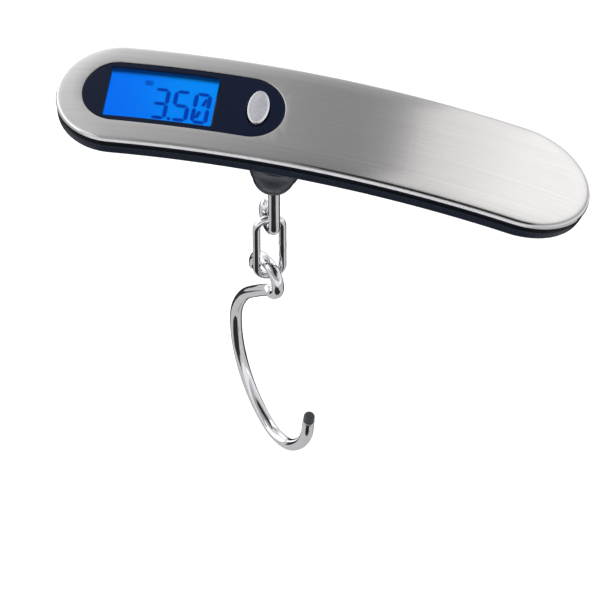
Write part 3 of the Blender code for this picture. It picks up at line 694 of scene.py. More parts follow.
def bend(target: bpy.types.Object, step: float = 2.5 * MM, sharp: float = 32.0) -> None:
    """Cut a flat object across the grip and bend it along the arc.

    Args:
        target: Object in flat coordinates.
        step: Spacing of the cuts.
        sharp: Angle in degrees over which an edge stays sharp.
    """
    bm = bmesh.new()
    bm.from_mesh(target.data)
    low = min(vert.co.x for vert in bm.verts)
    high = max(vert.co.x for vert in bm.verts)
    count = max(1, int((high - low) / step))
    for index in range(1, count):
        station = low + (high - low) * index / count
        geometry = bm.verts[:] + bm.edges[:] + bm.faces[:]
        bmesh.ops.bisect_plane(bm, geom=geometry, dist=TINY, plane_co=(station, 0, 0), plane_no=(1, 0, 0))
    wide = [face for face in bm.faces if len(face.verts) > 4]
    bmesh.ops.triangulate(bm, faces=wide)
    chart = bm.loops.layers.uv.get("flat") or bm.loops.layers.uv.new("flat")
    for face in bm.faces:
        for loop in face.loops:
            loop[chart].uv = (loop.vert.co.x * UV_PER_METRE, loop.vert.co.y * UV_PER_METRE)
    for vert in bm.verts:
        vert.co = GRIP.bent(*vert.co)
    bmesh.ops.dissolve_degenerate(bm, dist=TINY, edges=bm.edges)
    bmesh.ops.recalc_face_normals(bm, faces=bm.faces)
    bm.to_mesh(target.data)
    bm.free()
    soften(target, sharp)


def turned(profile: Sequence[Point2], steps: int = 96) -> bmesh.types.BMesh:
    """Return a closed solid of revolution about Z.

    Args:
        profile: Radius and height, from one end of the axis to the other; a closed profile off the
            axis gives a ring.
        steps: Number of steps round.

    Returns:
        The mesh.
    """
    bm = bmesh.new()
    line = [bm.verts.new((radius, 0, height)) for radius, height in profile]
    edges = [bm.edges.new(pair) for pair in zip(line, line[1:])]
    if profile[0][0] > 0 and profile[-1][0] > 0:
        edges.append(bm.edges.new((line[-1], line[0])))
    bmesh.ops.spin(bm, geom=line + edges, cent=(0, 0, 0), axis=(0, 0, 1), angle=2 * math.pi,
                   steps=steps, use_merge=True)
    bmesh.ops.remove_doubles(bm, verts=bm.verts, dist=TINY)
    bmesh.ops.recalc_face_normals(bm, faces=bm.faces)
    return bm


def tube(path: Sequence[Vector], radii: Sequence[float], sides: int = 40, closed: bool = False) -> bmesh.types.BMesh:
    """Return a round bar along a path, with a ring that doesn't twist.

    Args:
        path: Centre line.
        radii: Radius at each point.
        sides: Points round the bar.
        closed: Whether the path is a loop.

    Returns:
        The mesh.
    """
    bm = bmesh.new()
    count = len(path)
    tangents = []
    for index in range(count):
        before = path[index - 1] if closed or index else path[0]
        after = path[(index + 1) % count] if closed or index < count - 1 else path[-1]
        tangents.append((after - before).normalized())
    side = tangents[0].orthogonal().normalized()
    rings = []
    for index in range(count):
        side = (side - tangents[index] * side.dot(tangents[index])).normalized()
        across = tangents[index].cross(side)
        ring = []
        for turn in range(sides):
            angle = 2 * math.pi * turn / sides
            outwards = side * math.cos(angle) + across * math.sin(angle)
            ring.append(bm.verts.new(path[index] + outwards * radii[index]))
        rings.append(ring)
    for lower, upper in zip(rings, rings[1:]):
        for turn in range(sides):
            after = (turn + 1) % sides
            bm.faces.new((lower[turn], lower[after], upper[after], upper[turn]))
    if closed:
        offset = min(range(sides), key=lambda shift: (rings[0][shift].co - rings[-1][0].co).length)
        for turn in range(sides):
            after = (turn + 1) % sides
            bm.faces.new((rings[-1][turn], rings[-1][after],
                          rings[0][(after + offset) % sides], rings[0][(turn + offset) % sides]))
    else:
        bm.faces.new(rings[0])
        bm.faces.new(rings[-1])
    bmesh.ops.recalc_face_normals(bm, faces=bm.faces)
    return bm


def dress(piece: bpy.types.Object, finish: Finish, body: str, *nodes: str) -> bpy.types.Object:
    """Give a piece its finish and its body, and hide the CAD nodes that it stands for.

    Args:
        piece: Object in place.
        finish: Its finish.
        body: Body that it rides on.
        *nodes: CAD nodes that it replaces.

    Returns:
        The same object.
    """
    piece.data.materials.clear()
    piece.data.materials.append(finish.material())
    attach(piece, body)
    if nodes:
        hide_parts(*nodes)
    LOG.info("made %s", piece.name)
    return piece


# ------------------------------------------------------------------ cover and seam

@dataclass
class TopCover:
    """Pressed steel cover with a brushed top and a rolled, polished rim."""

    window_lip: tuple[Point2, ...] = ((-0.35, 0.0), (-0.12, -0.03), (0.0, -0.14), (0.0, -0.7), (-0.5, -0.7))
    fold: tuple[Point2, ...] = ((0.7, -2.0), (0.8, -0.9), (6.0, -0.8))
    rim: tuple[Point2, ...] = (
        (6.0, 0.0), (5.4, -0.008), (4.8, -0.03), (3.8, -0.09), (2.9, -0.17), (2.1, -0.26), (1.5, -0.35),
        (1.1, -0.43), (0.9, -0.49), (0.72, -0.56), (0.56, -0.65), (0.42, -0.77), (0.31, -0.92), (0.23, -1.1),
        (0.16, -1.3), (0.1, -1.5), (0.04, -1.68), (0.0, -1.84), (0.05, -1.95), (0.2, -2.0),
    )
    polished_from: int = 8

    def build(self) -> None:
        """Make the brushed top with its window opening, and the polished rim round it."""
        self._top()
        self._rim()

    def _top(self) -> None:
        """Brushed top: a flat skin with a folded edge at the window."""
        outer = [(GRIP.outline(inset * MM), height * MM) for inset, height in self.rim[:self.polished_from + 1]]
        bm = loft(outer, floor=False, roof=False)
        hole = [(Window.outline(inset * MM), height * MM) for inset, height in self.window_lip]
        inner = loft(hole, floor=False, roof=False)
        mesh = bpy.data.meshes.new("hole")
        inner.to_mesh(mesh)
        inner.free()
        bm.from_mesh(mesh)
        bpy.data.meshes.remove(mesh)
        edges = [edge for edge in bm.edges if len(edge.link_faces) == 1
                 and all(abs(vert.co.z) < TINY for vert in edge.verts)]
        bmesh.ops.triangle_fill(bm, use_beauty=True, edges=edges, normal=(0, 0, 1))
        cover = as_object("cover_top", bm)
        bend(cover)
        dress(cover, STEEL, "handle", "top_cover")

    def _rim(self) -> None:
        """Polished rolled rim, closed underneath by the wall's thickness."""
        section = (*self.rim[self.polished_from:], *self.fold)
        rings = [(GRIP.outline(inset * MM), height * MM) for inset, height in section]
        rim = as_object("cover_rim", loft(rings, floor=False, roof=False), 50.0)
        bend(rim)
        dress(rim, RIM_STEEL, "handle")


@dataclass
class SeamFrame:
    """Upper frame: a bead between the cover and the housing, painted darker than the housing as the shadow in the gap
    between them.
    """

    section: tuple[Point2, ...] = (
        (4.2, -1.2), (1.3, -1.3), (1.2, -2.1), (0.5, -2.12), (0.32, -2.2), (0.2, -2.36), (0.13, -2.6),
        (0.1, -3.0), (0.08, -3.6), (0.3, -3.66), (4.2, -3.66),
    )

    def build(self) -> None:
        """Make the bead with rounded edges and a shelf under the cover."""
        rings = [(GRIP.outline(inset * MM), height * MM) for inset, height in self.section]
        bead = as_object("seam_bead", loft(rings, floor=False, roof=False))
        bend(bead)
        dress(bead, SEAM_SHADE_BLACK, "handle")


# ------------------------------------------------------------------ housing

@dataclass
class Housing:
    """Lower housing, its hub collar, its screws and the battery door."""

    wall: float = 1.8 * MM
    sections: tuple[Point2, ...] = ((0.07, -3.7), (0.0, -4.4), (0.02, -5.6), (0.14, -6.5), (0.8, -7.25), (4.2, -10.4),
                                    (8.2, -13.8), (12.4, -16.2), (15.4, -17.0))
    swell: tuple[Point2, ...] = ((4.8, -11.5), (4.8, -15.0), (3.9, -17.2), (2.9, -19.8), (2.3, -22.4), (1.6, -24.9),
                                 (0.8, -26.6), (0.42, -27.4), (0.16, -28.0))
    hub: float = -13.2 * MM
    dome: float = 6.4 * MM
    door: tuple[float, float, float] = (36.0 * MM, 62.0 * MM, 10.6 * MM)
    door_corner: float = 1.6 * MM
    door_top: float = -9.0 * MM
    door_gap: float = 0.35 * MM
    door_lean: float = 3.2 * MM
    head_seat: float = -11.0 * MM
    head: float = 1.9 * MM
    shank: float = 1.1 * MM
    shank_long: float = 7.6 * MM
    shank_point: float = 0.6 * MM
    recess_reach: float = 1.25 * MM
    recess_half: float = 0.22 * MM
    recess_floor: float = -0.42 * MM
    boss: float = 3.1 * MM
    boss_span: Point2 = (-17.5 * MM, -4.1 * MM)
    dome_play: float = 0.12 * MM
    dome_span: Point2 = (-32.0 * MM, -10.0 * MM)
    rib_count: int = 5
    rib_first: float = 3.4 * MM
    rib_pitch: float = 1.7 * MM
    rib_wide: float = 0.8 * MM
    rib_half: float = 3.4 * MM
    rib_floor: float = -16.6 * MM
    sharp: float = 28.0
    screws: tuple[Point2, ...] = ((-70.0 * MM, 0.0), (71.0 * MM, 0.0), (1.0 * MM, -10.4 * MM), (1.0 * MM, 10.4 * MM))

    def rings(self, wall: float) -> list[Ring]:
        """Return the housing's sections from the rim down.

        Args:
            wall: Distance inside the outer face.

        Returns:
            Outlines and heights.
        """
        deepest = self.sections[-1][0]
        made: list[Ring] = []
        for inset, height in smooth(self.sections, 4):
            lean = min(1.0, max(0.0, inset / deepest))
            made.append((GRIP.outline(max(0.0, inset) * MM + wall * (1 - 0.75 * lean)), height * MM + wall * lean))
        return made

    def tub(self, name: str) -> bpy.types.Object:
        """Return the flat tub without holes.

        Args:
            name: Object name.

        Returns:
            An object in flat coordinates.
        """
        body = as_object(name, self.hull())
        inner = self.rings(self.wall)
        inner.insert(0, (inner[0][0], 0.0))
        carve(body, loft(inner))
        return body

    def hull(self) -> bmesh.types.BMesh:
        """Return the outer shape with its swelling round the hub, in flat coordinates."""
        shape = as_object("hull", loft(self.rings(0.0)))
        flare = [(circle(self.hub, 0.0, self.dome + grow * MM, 96), height * MM)
                 for grow, height in smooth(self.swell, 3)]
        carve(shape, loft(flare), "UNION")
        made = bmesh.new()
        made.from_mesh(shape.data)
        bpy.data.objects.remove(shape)
        return made

    def door_box(self, gap: float) -> bmesh.types.BMesh:
        """Return the block that parts the door from the tub.

        Args:
            gap: Growth of the block.

        Returns:
            A solid in flat coordinates, its free end leaning inwards.
        """
        start, end, half = self.door
        low, high = (rounded_box(start - gap + lean, end + gap, -half - gap, half + gap, self.door_corner)
                     for lean in (0.0, self.door_lean))
        return loft(((low, BELOW), (high, self.door_top)))

    def build(self) -> None:
        """Make the housing, its collar, the door and the screws."""
        shell = self.tub("housing_shell")
        for s, y in self.screws:
            carve(shell, prism(circle(s, y, self.boss), *self.boss_span), "UNION")
        carve(shell, self.hull(), "INTERSECT")
        carve(shell, self.door_box(self.door_gap))
        for s, y in self.screws:
            carve(shell, prism(circle(s, y, self.head + GAP), BELOW, self.head_seat))
        bend(shell, sharp=self.sharp)
        low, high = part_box("hub_dome")
        carve(shell, prism(circle((low.x + high.x) / 2, 0.0, self.dome + self.dome_play, 96), *self.dome_span))
        soften(shell, self.sharp)
        dress(shell, BLACK, "handle", "lower_housing")
        self._door()
        for number, (s, y) in enumerate(self.screws, 1):
            self._screw(number, s, y)

    def _door(self) -> None:
        """Battery door with grip ribs."""
        door = self.tub("door_panel")
        carve(door, self.door_box(0.0), "INTERSECT")
        start, _, _ = self.door
        for index in range(self.rib_count):
            s = start + self.rib_first + self.rib_pitch * index
            groove = rounded_box(s, s + self.rib_wide, -self.rib_half, self.rib_half, 0.35 * MM, 4)
            carve(door, prism(groove, BELOW, self.rib_floor))
        bend(door, sharp=self.sharp)
        dress(door, BLACK, "battery_door", "battery_door")

    def _screw(self, number: int, s: float, y: float) -> None:
        """Pan head screw with a cross recess, seen from below.

        Args:
            number: Number in its name.
            s: Station.
            y: Width.
        """
        crown = ((1.0, 0.0), (1.0, -0.35), (0.96, -0.6), (0.82, -0.85), (0.55, -0.98), (0.0, -1.0))
        profile = ((0.0, self.shank_long), (self.shank * 0.7, self.shank_long),
                   (self.shank, self.shank_long - self.shank_point), (self.shank, 0.0),
                   *((self.head * share, height * MM) for share, height in crown))
        piece = as_object("screw_%d" % number, turned(profile, 48))
        for long, wide in ((self.recess_reach, self.recess_half), (self.recess_half, self.recess_reach)):
            slot = rounded_box(-long, long, -wide, wide, 0.08 * MM, 3)
            carve(piece, prism(slot, -2 * MM, self.recess_floor))
        soften(piece, 30.0)
        piece.matrix_world = GRIP.local(s) @ Matrix.Translation((0.0, y, self.head_seat - GAP))
        dress(piece, ZINC, "handle", "housing_screw_%d" % number)


# ------------------------------------------------------------------ window, display, button

class Segment(Enum):
    """The bars of a seven segment figure: middle x, middle y and whether the bar stands."""

    TOP = (0.5, 1.0, False)
    UPPER_LEFT = (0.0, 0.75, True)
    UPPER_RIGHT = (1.0, 0.75, True)
    MIDDLE = (0.5, 0.5, False)
    LOWER_LEFT = (0.0, 0.25, True)
    LOWER_RIGHT = (1.0, 0.25, True)
    BOTTOM = (0.5, 0.0, False)


FIGURES: dict[str, tuple[Segment, ...]] = {
    "3": (Segment.TOP, Segment.UPPER_RIGHT, Segment.MIDDLE, Segment.LOWER_RIGHT, Segment.BOTTOM),
    "5": (Segment.TOP, Segment.UPPER_LEFT, Segment.MIDDLE, Segment.LOWER_RIGHT, Segment.BOTTOM),
    "0": (Segment.TOP, Segment.UPPER_LEFT, Segment.UPPER_RIGHT, Segment.LOWER_LEFT,
          Segment.LOWER_RIGHT, Segment.BOTTOM),
}


@dataclass
class Window:
    """Gloss panel with the lit display under its opening."""

    start: float = -72.2 * MM
    end: float = -12.8 * MM
    half: float = 11.4 * MM
    cap: float = 10.4 * MM
    section: tuple[Point2, ...] = ((0.15, -1.3), (0.15, -0.42), (0.2, -0.28), (0.32, -0.21), (0.5, -0.2))
    view: tuple[float, float, float] = (-64.9 * MM, -33.2 * MM, 9.35 * MM)
    view_rim: float = 0.3 * MM
    button_hole: tuple[Point2, ...] = ((0.3, -3.0), (0.3, -0.45), (0.55, -0.19), (0.55, 1.0))
    pane_play: float = 0.15 * MM
    pane_span: Point2 = (-1.3 * MM, -0.75 * MM)
    glass: float = -1.45 * MM
    glass_wall: float = 0.9 * MM
    light_border: Point2 = (0.6 * MM, 0.3 * MM)
    mark_span: Point2 = (0.02 * MM, 0.08 * MM)
    slashes: tuple[tuple[Point2, Point2], ...] = (((0.95, 1.5), (1.75, 4.3)), ((2.25, 6.4), (3.1, 9.3)))
    slash_share: float = 0.42
    bar_gap: float = 0.14 * MM
    point: tuple[float, float, float] = (-45.75 * MM, 0.5 * MM, 0.2 * MM)
    unit_mark: tuple[tuple[float, float, float, float], ...] = (
        (-54.5, -52.4, 5.75, 6.1), (-54.5, -52.4, 4.5, 4.85), (-54.5, -54.15, 4.85, 5.75),
        (-52.75, -52.4, 4.85, 5.75), (-53.9, -53.2, 5.05, 5.55),
    )
    figure_wide: float = 3.9 * MM
    figure_tall: float = 10.9 * MM
    figure_low: float = -7.7 * MM
    bar: float = 1.24 * MM
    figures: tuple[tuple[str, float], ...] = (("3", -51.1 * MM), ("5", -44.9 * MM), ("0", -39.0 * MM))

    def build(self) -> None:
        """Make the panel, the pane, the lit display and its figures."""
        self._panel()
        self._pane()
        self._display()

    @classmethod
    def outline(cls, inset: float) -> Outline:
        """Return the window's outline moved inwards.

        Args:
            inset: Distance inwards.

        Returns:
            Points anticlockwise.
        """
        return stadium(cls.start, cls.end, cls.half, cls.cap, inset)

    def _view_box(self, grow_x: float, grow_y: float, corner: float) -> Outline:
        """Return the opening over the display, grown on each side.

        Args:
            grow_x: Growth of its ends.
            grow_y: Growth of its sides.
            corner: Corner radius.

        Returns:
            Points anticlockwise.
        """
        x0, x1, half = self.view
        return rounded_box(x0 - grow_x, x1 + grow_x, -half - grow_y, half + grow_y, corner)

    def _panel(self) -> None:
        """Gloss panel with softened edges round its outline and openings."""
        panel = as_object("window_panel", loft([(self.outline(inset * MM), height * MM)
                                                for inset, height in self.section]))
        opening = self._view_box(0.0, 0.0, 0.5 * MM)
        rim = self._view_box(self.view_rim, self.view_rim, 0.5 * MM + self.view_rim)
        carve(panel, loft(((opening, -3 * MM), (opening, -0.5 * MM), (rim, -0.19 * MM), (rim, MM))))
        carve(panel, loft([(oval(Button.at, Button.long, Button.wide, -grow * MM), height * MM)
                           for grow, height in self.button_hole]))
        bend(panel)
        dress(panel, NAVY, "handle", "window_bezel")

    def _pane(self) -> None:
        """Clear pane in the opening."""
        edge = self._view_box(-self.pane_play, -self.pane_play, 0.4 * MM)
        pane = as_object("display_pane", prism(edge, *self.pane_span))
        bend(pane)
        dress(pane, CLEAR, "handle", "display_lens")

    def _display(self) -> None:
        """Lit panel under the pane, with dark figures on it."""
        edge = self._view_box(*self.light_border, 0.3 * MM)
        lit = as_object("display_light", prism(edge, self.glass - self.glass_wall, self.glass))
        bend(lit)
        dress(lit, LIT_BLUE, "handle", "lcd_panel")
        # Painted light and shade: this ring glows a darker blue than the panel, standing in for the opening's walls
        # lit by the display.
        outer, inner, top = 0.02 * MM, 0.1 * MM, -0.62 * MM
        rings = [(self._view_box(-inset, -inset, 0.45 * MM), height) for inset, height in (
            (outer, top), (inner, top), (inner, self.glass), (outer, self.glass), (outer, top))]
        edge_glow_ring = as_object("display_edge_painted_glow", loft(rings, floor=False, roof=False))
        bend(edge_glow_ring)
        dress(edge_glow_ring, EDGE_GLOW_PAINTED, "handle")
        for number, (figure, s) in enumerate(self.figures, 1):
            bm = bmesh.new()
            for segment in FIGURES[figure]:
                self._bar(bm, s, segment)
            if figure == "0":
                for ends in self.slashes:
                    self._stroke(bm, *((s + x * MM, self.figure_low + y * MM) for x, y in ends))
            self._ink("display_figure_%d" % number, bm)
        bm = bmesh.new()
        x, reach, corner = self.point
        self._face(bm, rounded_box(x - reach, x + reach, self.figure_low - reach, self.figure_low + reach, corner))
        self._ink("display_point", bm)
        bm = bmesh.new()
        for sides in self.unit_mark:
            self._face(bm, rounded_box(*(side * MM for side in sides), 0.1 * MM))
        self._ink("display_mark", bm)

    def _face(self, bm: bmesh.types.BMesh, outline: Outline) -> None:
        """Add a thin flat plate just over the lit panel.

        Args:
            bm: Mesh to add to.
            outline: The plate's outline.
        """
        below, above = ([bm.verts.new((x, y, self.glass + height)) for x, y in outline] for height in self.mark_span)
        count = len(outline)
        for index in range(count):
            after = (index + 1) % count
            bm.faces.new((below[index], below[after], above[after], above[index]))
        bm.faces.new(above)
        bm.faces.new(list(reversed(below)))

    def _bar(self, bm: bmesh.types.BMesh, s: float, segment: Segment) -> None:
        """Add one bar of a figure, pointed at both ends.

        Args:
            bm: Mesh to add to.
            s: Station of the figure's left side.
            segment: Which bar.
        """
        across, up, stands = segment.value
        x = s + across * self.figure_wide
        y = self.figure_low + up * self.figure_tall
        half = self.bar / 2
        reach = (self.figure_tall / 4 if stands else self.figure_wide / 2) - self.bar_gap
        shape = ((-reach, 0.0), (-reach + half, -half), (reach - half, -half), (reach, 0.0),
                 (reach - half, half), (-reach + half, half))
        if stands:
            self._face(bm, [(x - b, y + a) for a, b in shape])
        else:
            self._face(bm, [(x + a, y + b) for a, b in shape])

    def _stroke(self, bm: bmesh.types.BMesh, first: Point2, last: Point2) -> None:
        """Add a slanting bar between two points.

        Args:
            bm: Mesh to add to.
            first: Lower end.
            last: Upper end.
        """
        along = Vector((last[0] - first[0], last[1] - first[1])).normalized()
        side = Vector((-along.y, along.x)) * self.bar * self.slash_share
        corners = [Vector(first) - side, Vector(last) - side, Vector(last) + side, Vector(first) + side]
        self._face(bm, [(corner.x, corner.y) for corner in corners])

    def _ink(self, name: str, bm: bmesh.types.BMesh) -> None:
        """Bend and dress a display mark."""
        mark = as_object(name, bm)
        bend(mark)
        dress(mark, INK, "handle")


@dataclass
class Button:
    """Oval metal button with a raised rim and a shallow crown."""

    at: float = -20.7 * MM
    long: float = 12.9 * MM
    wide: float = 6.3 * MM
    section: tuple[Point2, ...] = (
        (0.0, -1.8), (0.0, 0.34), (0.04, 0.47), (0.13, 0.57), (0.26, 0.62), (0.38, 0.62), (0.5, 0.585), (0.64, 0.56),
        (0.9, 0.565), (1.3, 0.59), (1.8, 0.62), (2.3, 0.64), (2.8, 0.65), (3.05, 0.65),
    )

    def build(self) -> None:
        """Make the button cap."""
        rings = [(oval(0.0, self.long, self.wide, inset * MM, 96), height * MM) for inset, height in self.section]
        cap = as_object("button", loft(rings))
        cap.matrix_world = GRIP.local(self.at)
        dress(cap, BUTTON_METAL, "button", "button_cap")


# ------------------------------------------------------------------ hub, chain and hook

@dataclass
class Chain:
    """Dome, swivel stem with its eye, the link and the hook."""

    stem_wire: float = 1.75 * MM
    link_wire: float = 1.25 * MM
    link_play: float = 0.09 * MM       # taken off the link's radius, so that it clears the eye when it swings
    hook_wire: float = 1.85 * MM
    eye_offset: float = 3.55 * MM
    eye_bottom: float = -51.8 * MM
    stem_tail: float = -43.6 * MM
    eye_turn: float = math.radians(-58.0)
    link_half: float = 3.95 * MM
    link_long: float = 25.5 * MM
    link_turn: float = math.radians(20.0)
    hook_eye: float = 6.1 * MM
    hook_back: float = 1.8 * MM
    hook_play: float = 0.5 * MM
    hook_turn: float = math.radians(-47.0)
    hook_eye_start: float = 196.0
    hook_eye_sweep: float = -276.0
    hook_eye_steps: int = 14
    hook_blunt: tuple[float, ...] = (0.62, 0.88, 0.98)
    shank: tuple[Point2, ...] = (
        (-7.2, -12.6), (-13.6, -20.4), (-17.8, -30.0), (-18.6, -39.0), (-17.2, -49.0), (-13.3, -59.0),
        (-7.0, -67.0), (1.2, -71.6), (9.3, -69.8), (15.6, -63.0), (19.2, -55.2), (20.4, -47.6))
    leaf: tuple[float, ...] = (1.0, 1.0, 0.99, 0.96, 0.91, 0.84, 0.75, 0.64, 0.50, 0.32, 0.10)
    dome: float = 6.4 * MM
    dome_long: float = 10.2 * MM
    dome_bore_play: float = 0.45 * MM
    dome_lip: float = 0.25 * MM
    weld: float = 0.05 * MM
    weld_share: float = 0.08
    collar: tuple[Point2, ...] = ((0.0, 0.02), (0.0, 0.5), (-0.06, 0.62), (-0.2, 0.7))
    cap: tuple[Point2, ...] = (
        (-0.1, 0.72), (0.0, 0.82), (0.0, 1.15), (-0.12, 1.22), (-0.12, 1.4), (0.0, 1.47), (0.0, 2.7),
        (-0.05, 3.0), (-0.2, 3.3), (-0.5, 3.55),
    )
    cap_step: float = 0.12 * MM
    cap_tip: float = 3.7 * MM
    stem: Vector = field(default_factory=lambda: (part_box("hub_dome")[0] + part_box("hub_dome")[1]) / 2)

    def build(self) -> None:
        """Make every hanging piece."""
        self._dome()
        self._stem()
        self._link()
        self._hook()

    def _dome(self) -> None:
        """Turned dome with a round nose and a soft lip at its bore."""
        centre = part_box("hub_dome")[1].z - self.dome_long
        bore = self.stem_wire + self.dome_bore_play
        last = math.acos(bore / self.dome) - 0.06
        steps = 28
        profile = [(bore, self.dome_long), (self.dome, self.dome_long), (self.dome, 0.0)]
        for index in range(1, steps + 1):
            angle = last * index / steps
            profile.append((self.dome * math.cos(angle), -self.dome * math.sin(angle)))
        radius, height = profile[-1]
        profile.append((radius - self.dome_lip, height + 0.02 * MM))
        profile.append((bore, height + 0.3 * MM))
        piece = as_object("dome", turned(profile, 128))
        piece.matrix_world = Matrix.Translation((self.stem.x, 0.0, centre))
        dress(piece, DOME_BLACK, "handle", "hub_dome")

    def _eye_side(self) -> Vector:
        """Return the direction from the stem to the eye's free leg."""
        return -Vector((math.cos(self.eye_turn), math.sin(self.eye_turn), 0.0))

    def _stem(self) -> None:
        """Stem that bends round into an open eye with a tapered end."""
        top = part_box("swivel_stem")[1].z
        side = self._eye_side()
        foot = Vector((self.stem.x, 0.0, 0.0))
        bend_height = self.eye_bottom + self.eye_offset
        path = [foot + Vector((0, 0, top + (bend_height - top) * index / 14)) for index in range(15)]
        steps = 36
        for index in range(1, steps + 1):
            angle = math.pi * index / steps
            across = self.eye_offset * (1 - math.cos(angle))
            path.append(foot + side * across + Vector((0, 0, bend_height - self.eye_offset * math.sin(angle))))
        radii = [self.stem_wire] * len(path)
        for index, share in enumerate(self.leaf, 1):
            height = bend_height + (self.stem_tail - bend_height) * index / len(self.leaf)
            path.append(foot + side * self.eye_offset * 2 + Vector((0, 0, height)))
            radii.append(self.stem_wire * share)
        dress(as_object("stem", tube(path, radii, 48)), CHROME, "swivel", "swivel_stem")

    def eye_floor(self) -> Vector:
        """Return the middle of the eye's lower bend."""
        return Vector((self.stem.x, 0.0, self.eye_bottom)) + self._eye_side() * self.eye_offset

    def link_floor(self) -> Vector:
        """Return the middle of the link's lower bend."""
        floor = self.eye_floor()
        return Vector((floor.x, floor.y, floor.z + self.stem_wire + GAP + self.link_wire - self.link_long))

    def _link(self) -> None:
        """Oval link with a faint weld swelling on one side."""
        across = Vector((math.cos(self.link_turn), math.sin(self.link_turn), 0.0))
        low = self.link_floor()
        centre = low + Vector((0, 0, self.link_long / 2))
        straight = self.link_long / 2 - self.link_half
        path: list[Vector] = []
        radii: list[float] = []
        bend_steps, run_steps = 32, 12
        for side in (1, -1):
            for index in range(bend_steps + 1):
                angle = math.pi * index / bend_steps
                rise = side * (straight + self.link_half * math.sin(angle))
                path.append(centre + across * self.link_half * math.cos(angle) * side + Vector((0, 0, rise)))
                radii.append(self.link_wire - self.link_play)
            for index in range(1, run_steps):
                share = index / run_steps
                rise = side * straight * (1 - 2 * share)
                path.append(centre - across * self.link_half * side + Vector((0, 0, rise)))
                swell = self.weld * math.exp(-((share - 0.5) / self.weld_share) ** 2) if side < 0 else 0.0
                radii.append(self.link_wire - self.link_play + swell)
        dress(as_object("link", tube(path, radii, 40, closed=True)), CHROME, "link", "chain_link")

    def _hook(self) -> None:
        """Hook of one bent wire, with a stepped spigot and a dark cap on its tip."""
        across = Vector((math.cos(self.hook_turn), math.sin(self.hook_turn), 0.0))
        low = self.link_floor()
        reach = self.hook_eye - self.link_wire - self.hook_play - self.hook_wire
        eye = low.z - math.sqrt(reach ** 2 - self.hook_back ** 2)
        flat: list[Point2] = []
        for index in range(self.hook_eye_steps + 1):
            angle = math.radians(self.hook_eye_start + self.hook_eye_sweep * index / self.hook_eye_steps)
            flat.append((self.hook_eye * math.cos(angle) - self.hook_back, eye + self.hook_eye * math.sin(angle)))
        flat += [(a * MM, eye + b * MM) for a, b in self.shank]
        route = smooth(flat, 8)
        foot = Vector((low.x, low.y, 0.0))
        path = [foot + across * point[0] + Vector((0, 0, point[1])) for point in route]
        radii = [self.hook_wire] * len(path)
        radii[:len(self.hook_blunt)] = [self.hook_wire * share for share in self.hook_blunt]
        dress(as_object("hook_wire", tube(path, radii, 48)), CHROME, "hook", "hook")
        along = (path[-1] - path[-3]).normalized()
        place = Matrix.Translation(path[-1]) @ along.to_track_quat("Z", "Y").to_matrix().to_4x4()
        collar = [(self.hook_wire + grow * MM, height * MM) for grow, height in self.collar]
        self._tip("tip_collar", collar, collar[-1][1], place, CHROME)
        plug = self.hook_wire - self.cap_step
        cap = [(plug + grow * MM, height * MM) for grow, height in self.cap]
        self._tip("tip_cap", cap, self.cap_tip, place, RUBBER, "hook_tip_cap")

    @staticmethod
    def _tip(name: str, side: Sequence[Point2], end: float, place: Matrix, finish: Finish, *nodes: str) -> None:
        """Add a turned piece on the hook's tip.

        Args:
            name: Object name.
            side: Radius and height down its side.
            end: Height at which its profile meets the axis.
            place: Frame of the tip.
            finish: Its finish.
            *nodes: CAD nodes that it replaces.
        """
        piece = as_object(name, turned([(0.0, side[0][1]), *side, (0.0, end)], 64))
        piece.matrix_world = place
        dress(piece, finish, "hook", *nodes)


# ------------------------------------------------------------------ inner parts

INNER_FINISHES: dict[str, Finish] = {
    "upper_frame": BLACK, "lcd_backlight": WHITE, "zebra_strip_front": RUBBER, "zebra_strip_rear": RUBBER,
    "main_board": BOARD, "chip_blob": RUBBER, "tact_switch": GREY, "switch_plunger": GREY, "load_cell": ALLOY,
    "gauge_cover": WHITE, "chassis_plate": ALLOY, "load_cell_screw_1": ZINC, "load_cell_screw_2": ZINC,
    "board_screw_1": ZINC, "board_screw_2": ZINC, "load_cell_wires": RED, "battery_tray": GREY,
    "battery_cell": ZINC, "battery_contact_negative": BRASS, "battery_contact_positive": BRASS,
    "swivel_washer": ZINC, "swivel_nut": ZINC,
}


def dress_inner(nodes: dict[str, bpy.types.Object]) -> None:
    """Give the kept CAD nodes their finishes.

    Args:
        nodes: The frame's nodes by name.
    """
    for name, finish in INNER_FINISHES.items():
        piece = nodes[name]
        piece.data.materials.clear()
        piece.data.materials.append(finish.material())
        LOG.info("dressed %s", name)


# ------------------------------------------------------------------ studio

@dataclass(frozen=True)
class Softbox:
    """An area light.

    Attributes:
        name: Light's name.
        place: Position of its middle.
        facing: Direction that it shines in.
        size: Width and height.
        glow: Radiance.
    """

    name: str
    place: tuple[float, float, float]
    facing: tuple[float, float, float]
    size: tuple[float, float]
    glow: float

    def build(self) -> None:
        """Make the light."""
        lamp = bpy.data.lights.new(self.name, "AREA")
        lamp.shape = "RECTANGLE"
        lamp.size, lamp.size_y = self.size
        lamp.energy = self.glow * math.pi * self.size[0] * self.size[1]
        piece = bpy.data.objects.new(self.name, lamp)
        bpy.context.scene.collection.objects.link(piece)
        piece.location = self.place
        piece.rotation_euler = Vector(self.facing).to_track_quat("-Z", "Y").to_euler()
        piece.visible_camera = False


